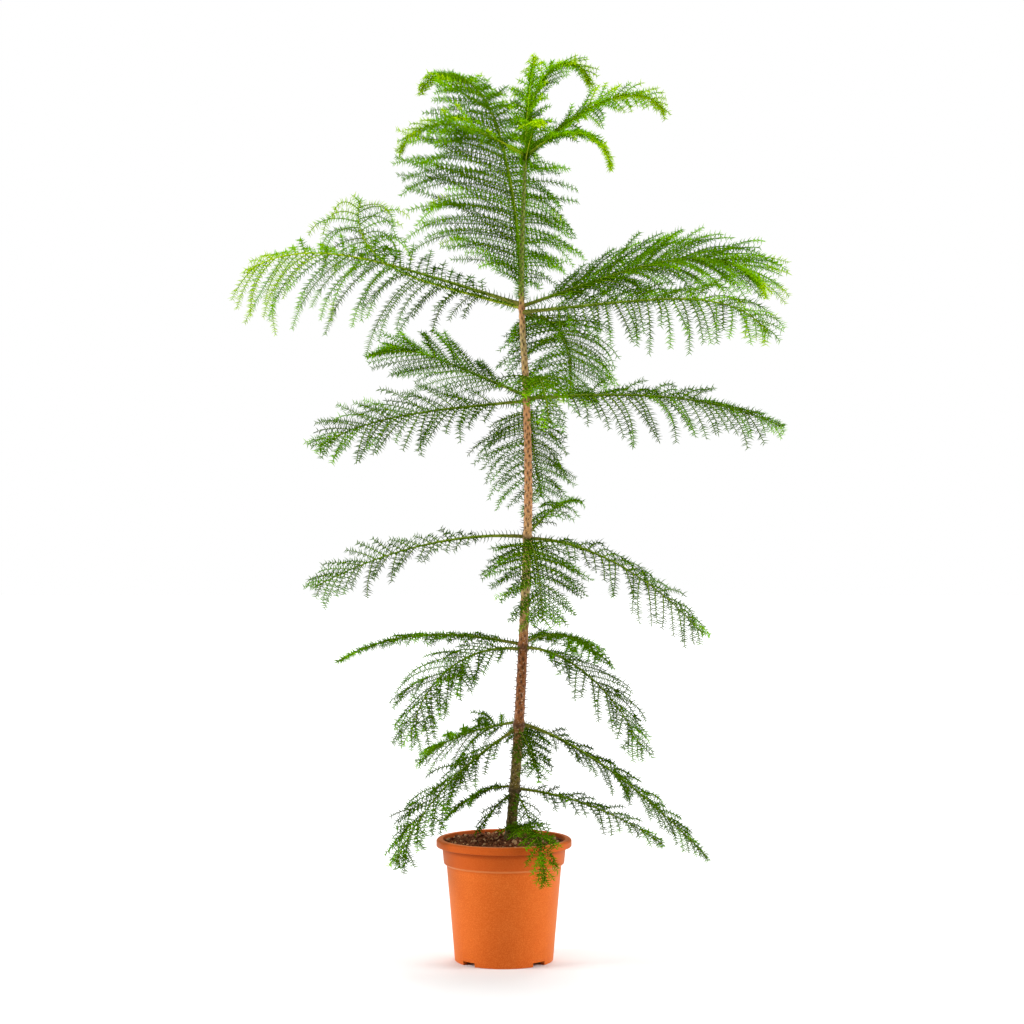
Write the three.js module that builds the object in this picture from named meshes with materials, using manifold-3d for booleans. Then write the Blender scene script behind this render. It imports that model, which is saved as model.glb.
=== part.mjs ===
// Norfolk island pine, about 1.4 m tall, growing in a plain orange nursery pot.
// Millimetres, +Z up. The origin is the centre of the pot's underside, +X is right and -Y is the front.
import * as THREE from "three";
import { mergeVertices } from "three/addons/utils/BufferGeometryUtils.js";
import Module from "manifold-3d";

const wasm = await Module();
wasm.setup();

// Clearance between neighbouring solids, and the smallest detail kept where solids are joined
const GAP = 0.3;
const SLIVER = 0.1;

// Pot: tapered body, wider collar, turned-down lip, raised floor and a notched foot ring
const POT_SIDES = 28;
const POT_HEIGHT = 190;
const WALL = 1.9;
const FOOT_RADIUS = 77;
const FOOT_RING = 8;
const FLOOR_HEIGHT = 7;
const FLOOR_THICKNESS = 2;
const LEDGE_HEIGHT = 149;
const LEDGE_RADIUS = 90;
const COLLAR_HEIGHT = 152;
const COLLAR_RADIUS = 93.6;
const COLLAR_TOP_RADIUS = 97.8;
const LIP_RADIUS = 106;
const LIP_DEPTH = 11.6;
const LIP_THICKNESS = 4;
const LIP_ROUND = 3.6;
const NOTCH_COUNT = 4;
const NOTCH_WIDTH = 25;
const NOTCH_HEIGHT = 6.5;
const DRAIN_RADIUS = 5;
const DRAIN_CIRCLE = 40;

// Soil: fills the pot to just under the lip, with a low flat mound where the trunk stands
const SOIL_HEIGHT = 187;
const SOIL_EDGE_DROP = 2.5;
const MOUND_RADIUS = 45;

// Trunk: centre line stations [height, sideways, depth], and radii
const TRUNK_LINE = [
  [187, 10, 12],
  [330, 21, 6],
  [520, 31, 2],
  [720, 38, 0],
  [880, 35, 0],
  [1030, 27.5, 0],
  [1150, 29, 0],
  [1276, 34, 0],
];
const TRUNK_SIDES = 8;
const TRUNK_ROWS = 24;
const TRUNK_RADIUS = 8.3;
const TRUNK_TIP_RADIUS = 2.5;
const TRUNK_TAPER = 1.7;
const ROOT_FLARE = 2.6;
const FLARE_HEIGHT = 14;

// Boughs: a limb near the trunk, then a stem that carries the sprays
const RIB_STEPS = 32;
const LIMB_SIDES = 5;
const LIMB_ROWS = 3;
const STEM_SIDES = 4;
const STEM_ROWS = 8;
const BOUGH_RADIUS = 1.7;
const BOUGH_RADIUS_BY_LENGTH = 1 / 290;
const BOUGH_TIP_SHARE = 0.36;

// Sprays: each toothed blade stands for a few needle-clad branchlets
const SPRAY_THINNING = 3.8;
const FEWEST_SPRAYS = 5;
const SPRAY_WIDTH_SHARE = 0.4;
const SPRAY_WIDEST_SHARE = 0.3;
const SPRAY_NARROW_SHARE = 0.5;
const SPRAY_HALF_THICKNESS = 1.5;
const SPRAY_STATIONS = [0, 0.24, 0.42, 0.6, 1];
const SPRAY_TEETH = [0.05, 1, 0.55, 0.85, 0];
const SPRAY_ROOT_SHARE = 0.4;
const SPRAY_SIZE_SPREAD = 0.4;
const SPRAY_ANGLE_SPREAD = 20;
const SPRAY_LIFT_SPREAD = 30;
const SPRAY_SAG_SPREAD = 0.7;
const SPRAY_CURL_SPREAD = 0.5;
const TIP_NARROWING = 24;
const LAST_SPRAY_AT = 0.985;
const SEED = 1000;
const SEED_STEP = 37;

// Whorls of boughs from the crown down. Each bough leaves the trunk at height + step towards its azimuth
// (0 right, 90 back), starts at the slope rise and ends at the slope fall, changing as share ** bend, while
// its heading turns by sweep. Its two rows of sprays lie in a plane turned by roll and raised by lift, leave
// the rib at angle, are up to span long and gap apart, and sag by droop. The row on the right is longer by
// skew. The first share, bare, has no sprays. They start at the share first of their length, grow to all of
// it at the share swell, and shrink to the share last at the tip, later with a higher fade and faster with a
// higher taper. Angles are degrees.
const WHORLS = [
  {
    name: "crown",
    height: 1262,
    leaf: 0x86b82e,
    common: { gap: 7, angle: 56, lift: 10, droop: 0.5, bare: 0.2, fade: 2, taper: 2, limbless: true },
    boughs: [
      { name: "right", step: 2, azimuth: 10, length: 260, rise: 36, fall: -64, bend: 4, roll: 20, span: 64,
        gap: 6, taper: 2.5 },
      { name: "right_front", step: -4, azimuth: -30, length: 190, rise: 34, fall: -88, bend: 1.6, span: 48 },
      { name: "top_right", step: -23, azimuth: 85, length: 268, rise: 74, fall: -95, bend: 4, sweep: -80,
        span: 52, gap: 5.5, taper: 1.2 },
      { name: "top", step: 14, azimuth: 62, length: 148, rise: 84, fall: 66, bend: 2, span: 46 },
      { name: "left", step: -2, azimuth: 172, length: 230, rise: 30, fall: -74, bend: 2.6, roll: -20,
        span: 62 },
      { name: "front", step: -11, azimuth: -80, length: 150, rise: 35, fall: -30, bend: 2, span: 50 },
    ],
  },
  {
    name: "tier6",
    height: 1021,
    leaf: 0x679c33,
    common: { gap: 15, angle: 62, lift: 5, droop: 0.6, bare: 0.12 },
    boughs: [
      { name: "left", step: 5, azimuth: 160, length: 502, rise: 18, fall: -34, bend: 4, roll: 45, span: 102,
        skew: -0.45, droop: 0.8, angle: 70, gap: 12, fade: 7 },
      { name: "right", step: 2, azimuth: -3, length: 388, rise: 19, fall: -48, bend: 4, roll: -35, span: 122,
        skew: -0.1, lift: 12, droop: 0.5, angle: 46, gap: 8, fade: 6 },
      { name: "right_front", step: -7, azimuth: -27, length: 430, rise: 3, fall: -60, bend: 5, roll: -40,
        span: 92, droop: 0.75 },
      { name: "right_back", step: -9, azimuth: 50, length: 290, rise: 0, fall: -52, bend: 1.1, sweep: 45,
        span: 118, skew: -0.1, angle: 72, gap: 8 },
      { name: "left_back", step: -6, azimuth: 143, length: 440, rise: 13, fall: 120, bend: 5, span: 84,
        bare: 0.66, angle: 62, droop: 0.85, gap: 12, fade: 4, limbless: true },
      { name: "back", step: 8, azimuth: 92, length: 515, rise: 72, fall: -75, bend: 6, sweep: 70,
        bare: 0.06, span: 192, skew: -0.2, lift: 0, droop: 0.52, angle: 78, gap: 6.4, first: 0.25,
        swell: 0.22, last: 0.05, fade: 2, taper: 1.5 },
    ],
  },
  {
    name: "tier5",
    height: 877,
    leaf: 0x5a8f35,
    common: { gap: 13, angle: 54, lift: 5, droop: 0.6, bare: 0.14 },
    boughs: [
      { name: "left_back", step: 6, azimuth: 140, length: 320, rise: 20, fall: -4, bend: 5, roll: 40,
        span: 125, angle: 32, droop: 0.3, gap: 17, fade: 2.5 },
      { name: "left_front", step: -2, azimuth: -165, length: 340, rise: -6, fall: -32, bend: 3, roll: 45,
        span: 84, lift: 12, angle: 50, droop: 0.45 },
      { name: "right", step: 2, azimuth: -8, length: 405, rise: 3, fall: -26, bend: 2, roll: -35, span: 86,
        skew: 0.25, droop: 0.75, fade: 2.5, gap: 15 },
      { name: "back", step: -7, azimuth: 90, length: 275, rise: -10, fall: -58, bend: 1.1, sweep: -15,
        span: 94, skew: -0.2, angle: 72, gap: 9 },
      { name: "front", step: 0, azimuth: -83, length: 285, rise: 22, fall: -60, bend: 1.5, span: 70 },
    ],
  },
  {
    name: "tier4",
    height: 660,
    leaf: 0x4f8534,
    common: { gap: 16, angle: 56, lift: 5, droop: 0.6, bare: 0.15 },
    boughs: [
      { name: "left", step: 2, azimuth: 178, length: 352, rise: 6, fall: -29, bend: 0.8, roll: 50, span: 76,
        bare: 0.2, first: 0.2, swell: 0.8, droop: 0.42 },
      { name: "right", step: -1, azimuth: -5, length: 322, rise: 6, fall: -49, bend: 0.6, roll: -25,
        span: 72, first: 0.4, swell: 0.4 },
      { name: "front", step: -6, azimuth: -84, length: 250, rise: 4, fall: -62, bend: 1, span: 92,
        gap: 12, angle: 66, droop: 0.36, fade: 3 },
      { name: "back", step: 6, azimuth: 72, length: 266, rise: 18, fall: 0, bend: 2, span: 48 },
    ],
  },
  {
    name: "tier3",
    height: 489,
    leaf: 0x487c33,
    common: { gap: 16, angle: 52, lift: 5, droop: 0.55, bare: 0.12 },
    boughs: [
      { name: "left", step: 4, azimuth: 165, length: 318, rise: 10, fall: -32, bend: 1.6, roll: 10, span: 44,
        bare: 0.1, gap: 12, fade: 1.2 },
      { name: "left_front", step: -4, azimuth: -150, length: 262, rise: 10, fall: -80, bend: 1.1, roll: 20,
        span: 96 },
      { name: "right_front", step: -1, azimuth: -30, length: 274, rise: 10, fall: -63, bend: 0.6, roll: -15,
        span: 72 },
      { name: "right_back", step: 6, azimuth: 55, length: 235, rise: 14, fall: -40, bend: 1.2, span: 70 },
    ],
  },
  {
    name: "tier2",
    height: 367,
    leaf: 0x437632,
    common: { gap: 17, angle: 52, lift: 5, droop: 0.45, bare: 0.12, fade: 3 },
    boughs: [
      { name: "right", step: 2, azimuth: 8, length: 376, rise: -3, fall: -47, bend: 0.35, roll: -24,
        span: 64, angle: 54 },
      { name: "left_back", step: 5, azimuth: 140, length: 212, rise: -10, fall: -30, bend: 1.5, roll: 35,
        span: 90, gap: 14 },
      { name: "left_front", step: -4, azimuth: -165, length: 288, rise: -30, fall: -65, bend: 1.2, roll: 15,
        span: 90, gap: 14 },
      { name: "front", step: -8, azimuth: -70, length: 115, rise: -20, fall: -50, bend: 1, span: 45,
        limbless: true },
      { name: "back", step: 0, azimuth: 82, length: 215, rise: -5, fall: -45, bend: 1, span: 58 },
    ],
  },
  {
    name: "tier1",
    height: 265,
    leaf: 0x4c8333,
    common: { gap: 16, angle: 54, lift: 5, droop: 0.45, bare: 0.12, fade: 3, limbless: true },
    boughs: [
      { name: "right", step: 2, azimuth: -10, length: 252, rise: -4, fall: -35, bend: 1, roll: -22,
        span: 46, gap: 17 },
      { name: "left_back", step: 4, azimuth: 165, length: 125, rise: 12, fall: -46, bend: 0.6, span: 46 },
      { name: "left_front", step: -3, azimuth: -160, length: 85, rise: -30, fall: -60, bend: 1, span: 38 },
      { name: "front", step: -6, azimuth: -65, length: 75, rise: -10, fall: -60, bend: 1, span: 36 },
    ],
  },
  {
    name: "basal",
    height: 200,
    leaf: 0x63a22c,
    common: { gap: 15, angle: 50, lift: 12, droop: 0.5, bare: 0.12, fade: 3, limbless: true },
    boughs: [
      { name: "front", step: 0, azimuth: -72, length: 205, rise: 16, fall: -104, bend: 2.2, span: 52 },
    ],
  },
];
const BOUGH_DEFAULTS = {
  sweep: 0,
  roll: 0,
  skew: 0,
  first: 0.55,
  swell: 0.25,
  last: 0.16,
  fade: 5,
  taper: 0.7,
  limbless: false,
};

// Finishes
const POT_FINISH = { color: 0xd8662a, roughness: 0.55, metalness: 0 };
const SOIL_FINISH = { color: 0x3a281c, roughness: 0.95, metalness: 0 };
const TRUNK_FINISH = { color: 0x8a5f3e, roughness: 0.85, metalness: 0 };
const BOUGH_FINISH = { color: 0x7d8a34, roughness: 0.75, metalness: 0 };
const LEAF_ROUGHNESS = 0.6;

const UP = new THREE.Vector3(0, 0, 1);
const radians = THREE.MathUtils.degToRad;

// Joining and cutting

function toSolid(geometry) {
  const bare = geometry.clone();
  bare.deleteAttribute("normal");
  bare.deleteAttribute("uv");
  const merged = mergeVertices(bare, 1e-4);
  const vertProperties = new Float32Array(merged.attributes.position.array);
  const triVerts = new Uint32Array(merged.index.array);
  const made = new wasm.Manifold(new wasm.Mesh({ numProp: 3, vertProperties, triVerts }));
  if (made.volume() > 0) return made;
  for (let i = 0; i < triVerts.length; i += 3) {
    [triVerts[i], triVerts[i + 1]] = [triVerts[i + 1], triVerts[i]];
  }
  return new wasm.Manifold(new wasm.Mesh({ numProp: 3, vertProperties, triVerts }));
}

// Draws the ends of very short edges together, so that no sliver is left where sprays leave the stem.
function withoutSlivers(solid) {
  const { vertProperties, triVerts } = solid.getMesh();
  const point = (i) => new THREE.Vector3().fromArray(vertProperties, 3 * i);
  const joined = Array.from({ length: vertProperties.length / 3 }, (_, i) => i);
  const home = (i) => (joined[i] === i ? i : home(joined[i]));
  const kept = [];
  for (let i = 0; i < triVerts.length; i++) {
    const next = i % 3 === 2 ? i - 2 : i + 1;
    if (point(triVerts[i]).distanceTo(point(triVerts[next])) > SLIVER) continue;
    joined[home(triVerts[i])] = home(triVerts[next]);
  }
  for (let i = 0; i < triVerts.length; i += 3) {
    const corners = [0, 1, 2].map((k) => home(triVerts[i + k]));
    if (new Set(corners).size === 3) kept.push(...corners);
  }
  const mesh = new wasm.Mesh({ numProp: 3, vertProperties, triVerts: new Uint32Array(kept) });
  return new wasm.Manifold(mesh).simplify(SLIVER);
}

function largestBody(solid) {
  const bodies = withoutSlivers(solid).decompose();
  return bodies.reduce((best, body) => (body.volume() > best.volume() ? body : best));
}

function toMesh(name, solid, finish, place) {
  const { vertProperties, triVerts } = solid.getMesh();
  const geometry = new THREE.BufferGeometry();
  geometry.setAttribute("position", new THREE.BufferAttribute(vertProperties, 3));
  geometry.setIndex(new THREE.BufferAttribute(triVerts, 1));
  geometry.translate(-place.x, -place.y, -place.z);
  geometry.computeVertexNormals();
  const mesh = new THREE.Mesh(geometry, new THREE.MeshStandardMaterial(finish));
  mesh.name = name;
  return mesh;
}

// Carries an upright cylinder or cone of height 1 onto a path. stationAt(share) gives each row's centre, its
// two directions across the path, and its reach along each.
function alongPath(geometry, stationAt) {
  const position = geometry.attributes.position;
  const point = new THREE.Vector3();
  for (let i = 0; i < position.count; i++) {
    const reach = Math.hypot(position.getX(i), position.getZ(i));
    const x = reach > 1e-6 ? position.getX(i) / reach : 0;
    const z = reach > 1e-6 ? position.getZ(i) / reach : 0;
    const station = stationAt(position.getY(i) + 0.5);
    point.copy(station.centre);
    point.addScaledVector(station.across, x * station.wide);
    point.addScaledVector(station.normal, z * station.thick);
    position.setXYZ(i, point.x, point.y, point.z);
  }
  return toSolid(geometry);
}

function turned(profile, sides) {
  const points = profile.map(([radius, height]) => new THREE.Vector2(radius, height));
  return toSolid(new THREE.LatheGeometry(points, sides).rotateX(Math.PI / 2));
}

// Pot and soil

function makePot() {
  const lipFoot = POT_HEIGHT - LIP_DEPTH;
  const lipUnder = POT_HEIGHT - LIP_THICKNESS;
  const lipInside = COLLAR_TOP_RADIUS - WALL;
  const floorTop = FLOOR_HEIGHT + FLOOR_THICKNESS;
  let pot = turned(
    [
      [0, FLOOR_HEIGHT],
      [FOOT_RADIUS - FOOT_RING - 1, FLOOR_HEIGHT],
      [FOOT_RADIUS - FOOT_RING, 0],
      [FOOT_RADIUS - 1, 0],
      [FOOT_RADIUS, 1.5],
      [LEDGE_RADIUS, LEDGE_HEIGHT],
      [COLLAR_RADIUS, COLLAR_HEIGHT],
      [COLLAR_TOP_RADIUS, lipUnder],
      [LIP_RADIUS - WALL, lipUnder],
      [LIP_RADIUS - WALL, lipFoot],
      [LIP_RADIUS, lipFoot],
      [LIP_RADIUS, POT_HEIGHT - LIP_ROUND],
      [LIP_RADIUS - LIP_ROUND * 0.4, POT_HEIGHT - LIP_ROUND * 0.2],
      [LIP_RADIUS - LIP_ROUND, POT_HEIGHT],
      [lipInside + 1.4, POT_HEIGHT],
      [lipInside, POT_HEIGHT - 1.4],
      [COLLAR_RADIUS - WALL, COLLAR_HEIGHT + WALL / 2],
      [LEDGE_RADIUS - WALL, LEDGE_HEIGHT + WALL / 2],
      [FOOT_RADIUS - WALL + 0.6, floorTop],
      [0, floorTop],
    ],
    POT_SIDES,
  );
  for (let i = 0; i < NOTCH_COUNT; i++) {
    const turn = ((i + 0.5) / NOTCH_COUNT) * 2 * Math.PI;
    const notch = new THREE.BoxGeometry(4 * FOOT_RING, NOTCH_WIDTH, 2 * NOTCH_HEIGHT);
    notch.translate(FOOT_RADIUS - FOOT_RING / 2, 0, 0).rotateZ(turn);
    pot = pot.subtract(toSolid(notch));
    const drain = new THREE.CylinderGeometry(DRAIN_RADIUS, DRAIN_RADIUS, 4 * FLOOR_THICKNESS, 10);
    drain.rotateX(Math.PI / 2).translate(DRAIN_CIRCLE, 0, FLOOR_HEIGHT).rotateZ(turn);
    pot = pot.subtract(toSolid(drain));
  }
  return pot;
}

function makeSoil() {
  const clear = WALL + 1.2 * GAP;
  const bottom = FLOOR_HEIGHT + FLOOR_THICKNESS + GAP;
  return turned(
    [
      [0, bottom],
      [FOOT_RADIUS - clear + 0.6, bottom],
      [LEDGE_RADIUS - clear, LEDGE_HEIGHT + WALL],
      [COLLAR_RADIUS - clear, COLLAR_HEIGHT + WALL],
      [COLLAR_TOP_RADIUS - clear - 0.5, SOIL_HEIGHT - SOIL_EDGE_DROP],
      [MOUND_RADIUS, SOIL_HEIGHT],
      [0, SOIL_HEIGHT],
    ],
    POT_SIDES,
  );
}

// Trunk

// Smooth line through the stations, by height.
function trunkAt(height) {
  const last = TRUNK_LINE.length - 1;
  const z = THREE.MathUtils.clamp(height, TRUNK_LINE[0][0], TRUNK_LINE[last][0]);
  const k = Math.min(TRUNK_LINE.findLastIndex((station) => station[0] <= z), last - 1);
  const before = TRUNK_LINE[Math.max(k - 1, 0)];
  const from = TRUNK_LINE[k];
  const to = TRUNK_LINE[k + 1];
  const after = TRUNK_LINE[Math.min(k + 2, last)];
  const rise = to[0] - from[0];
  const t = (z - from[0]) / rise;
  const axis = (i) => {
    const leave = ((to[i] - before[i]) / (to[0] - before[0])) * rise;
    const arrive = ((after[i] - from[i]) / (after[0] - from[0])) * rise;
    const held = (2 * t ** 3 - 3 * t ** 2 + 1) * from[i] + (3 * t ** 2 - 2 * t ** 3) * to[i];
    return held + (t ** 3 - 2 * t ** 2 + t) * leave + (t ** 3 - t ** 2) * arrive;
  };
  return new THREE.Vector3(axis(1), axis(2), z);
}

function trunkRadius(height) {
  const foot = TRUNK_LINE[0][0];
  const share = (height - foot) / (TRUNK_LINE.at(-1)[0] - foot);
  const taper = TRUNK_TIP_RADIUS + (TRUNK_RADIUS - TRUNK_TIP_RADIUS) * (1 - share ** TRUNK_TAPER);
  return taper + ROOT_FLARE * Math.exp(-(height - foot) / FLARE_HEIGHT);
}

// The rows crowd towards the foot, where the trunk flares.
function makeTrunk(extra) {
  const foot = TRUNK_LINE[0][0];
  const tip = TRUNK_LINE.at(-1)[0];
  const across = new THREE.Vector3(1, 0, 0);
  const normal = new THREE.Vector3(0, 1, 0);
  const bark = new THREE.CylinderGeometry(1, 1, 1, TRUNK_SIDES, TRUNK_ROWS);
  return alongPath(bark, (share) => {
    const height = foot + (tip - foot) * share ** 1.4;
    const radius = trunkRadius(height) + extra;
    const centre = trunkAt(height);
    if (share === 0) centre.z += GAP - extra;
    if (share === 1) centre.z += extra;
    return { centre, across, normal, wide: radius, thick: radius };
  });
}

// Boughs and sprays

function seededDraw(seed) {
  let state = seed;
  return () => {
    state = (Math.imul(1664525, state) + 1013904223) >>> 0;
    return state / 2 ** 32;
  };
}

function makeRib(bough) {
  const points = [trunkAt(bough.height)];
  if (bough.height > TRUNK_LINE.at(-1)[0] - 1) points[0].z += 1.2 * GAP;
  const headings = [];
  for (let i = 0; i < RIB_STEPS; i++) {
    const share = (i + 0.5) / RIB_STEPS;
    const slope = radians(bough.rise + (bough.fall - bough.rise) * share ** bough.bend);
    const turn = radians(bough.azimuth + bough.sweep * share);
    const flat = Math.cos(slope);
    headings.push(new THREE.Vector3(flat * Math.cos(turn), flat * Math.sin(turn), Math.sin(slope)));
    points.push(points[i].clone().addScaledVector(headings[i], bough.length / RIB_STEPS));
  }
  return { points, headings };
}

// Place and heading on the rib, with the directions to its right and above it, turned by roll.
function onRib(bough, share, roll) {
  const { points, headings } = bough.rib;
  const k = Math.min(Math.floor(share * RIB_STEPS), RIB_STEPS - 1);
  const centre = points[k].clone().lerp(points[k + 1], share * RIB_STEPS - k);
  const heading = headings[k];
  const turn = radians(bough.azimuth + bough.sweep / 2);
  const right = new THREE.Vector3(Math.sin(turn), -Math.cos(turn), 0);
  right.addScaledVector(heading, -right.dot(heading)).normalize();
  const above = new THREE.Vector3().crossVectors(right, heading);
  const across = right.clone().applyAxisAngle(heading, -radians(roll));
  const normal = above.clone().applyAxisAngle(heading, -radians(roll));
  return { centre, heading, across, normal };
}

function boughRadius(bough, share) {
  const foot = BOUGH_RADIUS + bough.length * BOUGH_RADIUS_BY_LENGTH;
  return foot * (1 - (1 - BOUGH_TIP_SHARE) * share);
}

function makeLimb(bough) {
  const end = bough.bare - GAP / bough.length;
  const wood = new THREE.CylinderGeometry(1, 1, 1, LIMB_SIDES, LIMB_ROWS);
  return alongPath(wood, (share) => {
    const radius = boughRadius(bough, share * end);
    return { ...onRib(bough, share * end, 0), wide: radius, thick: radius };
  });
}

// The stem's flats face the two rows of sprays.
function makeStem(bough) {
  const start = bough.limbless ? 0 : bough.bare;
  const stem = new THREE.ConeGeometry(1, 1, STEM_SIDES, STEM_ROWS).rotateY(Math.PI / STEM_SIDES);
  return alongPath(stem, (share) => {
    const at = start + (1 - start) * share;
    const radius = boughRadius(bough, at);
    return { ...onRib(bough, at, bough.roll), wide: radius, thick: radius };
  });
}

// Share of the full spray length at a share of the clad rib: shorter near the trunk and towards the tip.
function spraySize(bough, share) {
  const start = bough.first + (1 - bough.first) * Math.min(1, share / bough.swell);
  return start * (bough.last + (1 - bough.last) * (1 - share ** bough.fade) ** bough.taper);
}

// Line of one spray that leaves the rib on one side, curls a little along the rib and sags.
function sprayLine(bough, share, side, draw) {
  const rib = onRib(bough, bough.bare + (LAST_SPRAY_AT - bough.bare) * share, bough.roll);
  const size = spraySize(bough, share) * (1 - SPRAY_SIZE_SPREAD / 1.5 + SPRAY_SIZE_SPREAD * draw());
  const length = bough.span * size * (1 + side * bough.skew);
  const angle = radians(bough.angle - TIP_NARROWING * share ** 3 + SPRAY_ANGLE_SPREAD * (draw() - 0.5));
  const lift = radians(bough.lift + SPRAY_LIFT_SPREAD * (draw() - 0.5));
  const start = rib.heading.clone().multiplyScalar(Math.cos(angle));
  start.addScaledVector(rib.across, side * Math.cos(lift) * Math.sin(angle));
  start.addScaledVector(rib.normal, Math.sin(lift) * Math.sin(angle));
  let sag = bough.droop * (0.4 + 0.6 * Math.min(1, size)) * (1 - 0.5 * Math.max(0, start.z));
  sag *= 1 + SPRAY_SAG_SPREAD * (draw() - 0.5);
  const curl = SPRAY_CURL_SPREAD * (draw() - 0.5);
  const points = [rib.centre];
  const headings = [];
  for (let i = 0; i + 1 < SPRAY_STATIONS.length; i++) {
    const from = SPRAY_STATIONS[i];
    const to = SPRAY_STATIONS[i + 1];
    const along = (from + to) / 2;
    const heading = start.clone().multiplyScalar(1 - sag * along).addScaledVector(UP, -sag * along);
    headings.push(heading.addScaledVector(rib.heading, curl * along).normalize());
    points.push(points[i].clone().addScaledVector(headings[i], length * (to - from)));
  }
  return { points, headings, length, ribHeading: rib.heading };
}

// A toothed blade on that line, lying flat along the rib.
function makeSpray(line, halfWidth) {
  const rows = SPRAY_TEETH.length - 1;
  const blade = new THREE.ConeGeometry(1, 1, 3, rows);
  return alongPath(blade, (along) => {
    const row = Math.round(along * rows);
    const heading = line.headings[Math.min(row, rows - 1)];
    const across = line.ribHeading.clone().addScaledVector(heading, -line.ribHeading.dot(heading));
    across.normalize();
    const normal = new THREE.Vector3().crossVectors(heading, across);
    const wide = halfWidth * SPRAY_TEETH[row];
    const thick = SPRAY_HALF_THICKNESS * (row > 0 ? 1 : SPRAY_ROOT_SHARE);
    return { centre: line.points[row], across, normal, wide, thick };
  });
}

// Keeps every solid placed so far, so that a spray that would come too close to another piece is left out.
const placed = [];

function place(solid, owner) {
  placed.push({ solid, owner, box: solid.boundingBox() });
  return solid;
}

function boxesMeet(a, b) {
  return [0, 1, 2].every((i) => a.min[i] - GAP < b.max[i] && b.min[i] - GAP < a.max[i]);
}

function isClear(solid, owner) {
  const box = solid.boundingBox();
  return placed.every((other) => {
    if (other.owner === owner || !boxesMeet(box, other.box)) return true;
    return solid.minGap(other.solid, GAP) >= GAP;
  });
}

// A spray without room at its full width is tried narrower, and then left out.
function makeSprays(bough) {
  const draw = seededDraw(bough.seed);
  const clad = bough.length * (1 - bough.bare);
  const count = Math.max(FEWEST_SPRAYS, Math.floor((2 * clad) / (bough.gap * SPRAY_THINNING)));
  const spacing = (2 * clad) / count;
  const sprays = [];
  for (let i = 0; i < count; i++) {
    const share = (i + 0.2 + 0.6 * draw()) / count;
    const line = sprayLine(bough, share, i % 2 ? 1 : -1, draw);
    const halfWidth = Math.min(spacing * SPRAY_WIDTH_SHARE, line.length * SPRAY_WIDEST_SHARE);
    const sizes = [halfWidth, halfWidth * SPRAY_NARROW_SHARE];
    const spray = sizes.map((size) => makeSpray(line, size)).find((made) => isClear(made, bough.name));
    if (spray) sprays.push(place(spray, bough.name));
  }
  return sprays;
}

// Assembly

const boughs = WHORLS.flatMap((whorl) =>
  whorl.boughs.map((row) => ({
    ...BOUGH_DEFAULTS,
    ...whorl.common,
    ...row,
    whorl,
    name: `${whorl.name}_${row.name}`,
    height: whorl.height + row.step,
  })),
);
boughs.forEach((bough, i) => {
  bough.seed = SEED + SEED_STEP * i;
  bough.rib = makeRib(bough);
});

const plant = new THREE.Group();
const container = new THREE.Group();
const pot = place(makePot(), "pot");
const soil = place(makeSoil(), "soil");
container.add(toMesh("pot", pot, POT_FINISH, container.position));
container.add(toMesh("soil", soil, SOIL_FINISH, container.position));
plant.add(container);

const stand = new THREE.Group();
stand.position.copy(trunkAt(SOIL_HEIGHT));
const trunk = place(makeTrunk(0), "trunk");
const trunkRoom = makeTrunk(GAP);
stand.add(toMesh("trunk", trunk, TRUNK_FINISH, stand.position));
plant.add(stand);

for (const bough of boughs) {
  if (!bough.limbless) {
    bough.limb = place(largestBody(makeLimb(bough).subtract(trunkRoom)), `${bough.name}_limb`);
  }
  bough.stem = place(largestBody(makeStem(bough).subtract(trunkRoom)), bough.name);
}

for (const whorl of WHORLS) {
  const group = new THREE.Group();
  group.position.copy(trunkAt(whorl.height));
  const leafFinish = { color: whorl.leaf, roughness: LEAF_ROUGHNESS, metalness: 0 };
  for (const bough of boughs.filter((each) => each.whorl === whorl)) {
    const foliage = largestBody(wasm.Manifold.union([bough.stem, ...makeSprays(bough)]));
    if (bough.limb) group.add(toMesh(`${bough.name}_limb`, bough.limb, BOUGH_FINISH, group.position));
    group.add(toMesh(`${bough.name}_foliage`, foliage, leafFinish, group.position));
  }
  plant.add(group);
}

export default plant;
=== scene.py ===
"""Norfolk island pine in an orange nursery pot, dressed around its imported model.

Metres, +Z up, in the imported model's own frame. Boughs follow the same rule of growth as the solids and carry
it on to fine twigs, each clad in needles.
"""

import functools
import math

import bmesh
import bpy
import numpy as np
from bpy.props import FloatProperty, FloatVectorProperty, IntProperty, PointerProperty
from bpy.types import Operator, Panel, PropertyGroup
from mathutils import Matrix, Vector, noise


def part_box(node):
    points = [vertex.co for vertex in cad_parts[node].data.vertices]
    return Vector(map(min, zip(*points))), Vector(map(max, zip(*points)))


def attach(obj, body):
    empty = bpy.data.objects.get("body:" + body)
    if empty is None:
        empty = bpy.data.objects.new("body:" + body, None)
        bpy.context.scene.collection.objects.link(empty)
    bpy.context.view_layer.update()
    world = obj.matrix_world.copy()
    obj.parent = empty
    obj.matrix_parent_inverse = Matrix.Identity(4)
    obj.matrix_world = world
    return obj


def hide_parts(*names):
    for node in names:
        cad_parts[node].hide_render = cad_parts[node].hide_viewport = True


bl_info = {
    "name": "Potted pine",
    "version": (1, 0, 0),
    "blender": (4, 5, 0),
    "location": "View3D > Sidebar > Potted pine",
    "description": "Dresses the packed pot, trunk and boughs with bark, twigs and needles",
    "category": "Add Mesh",
}

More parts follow.
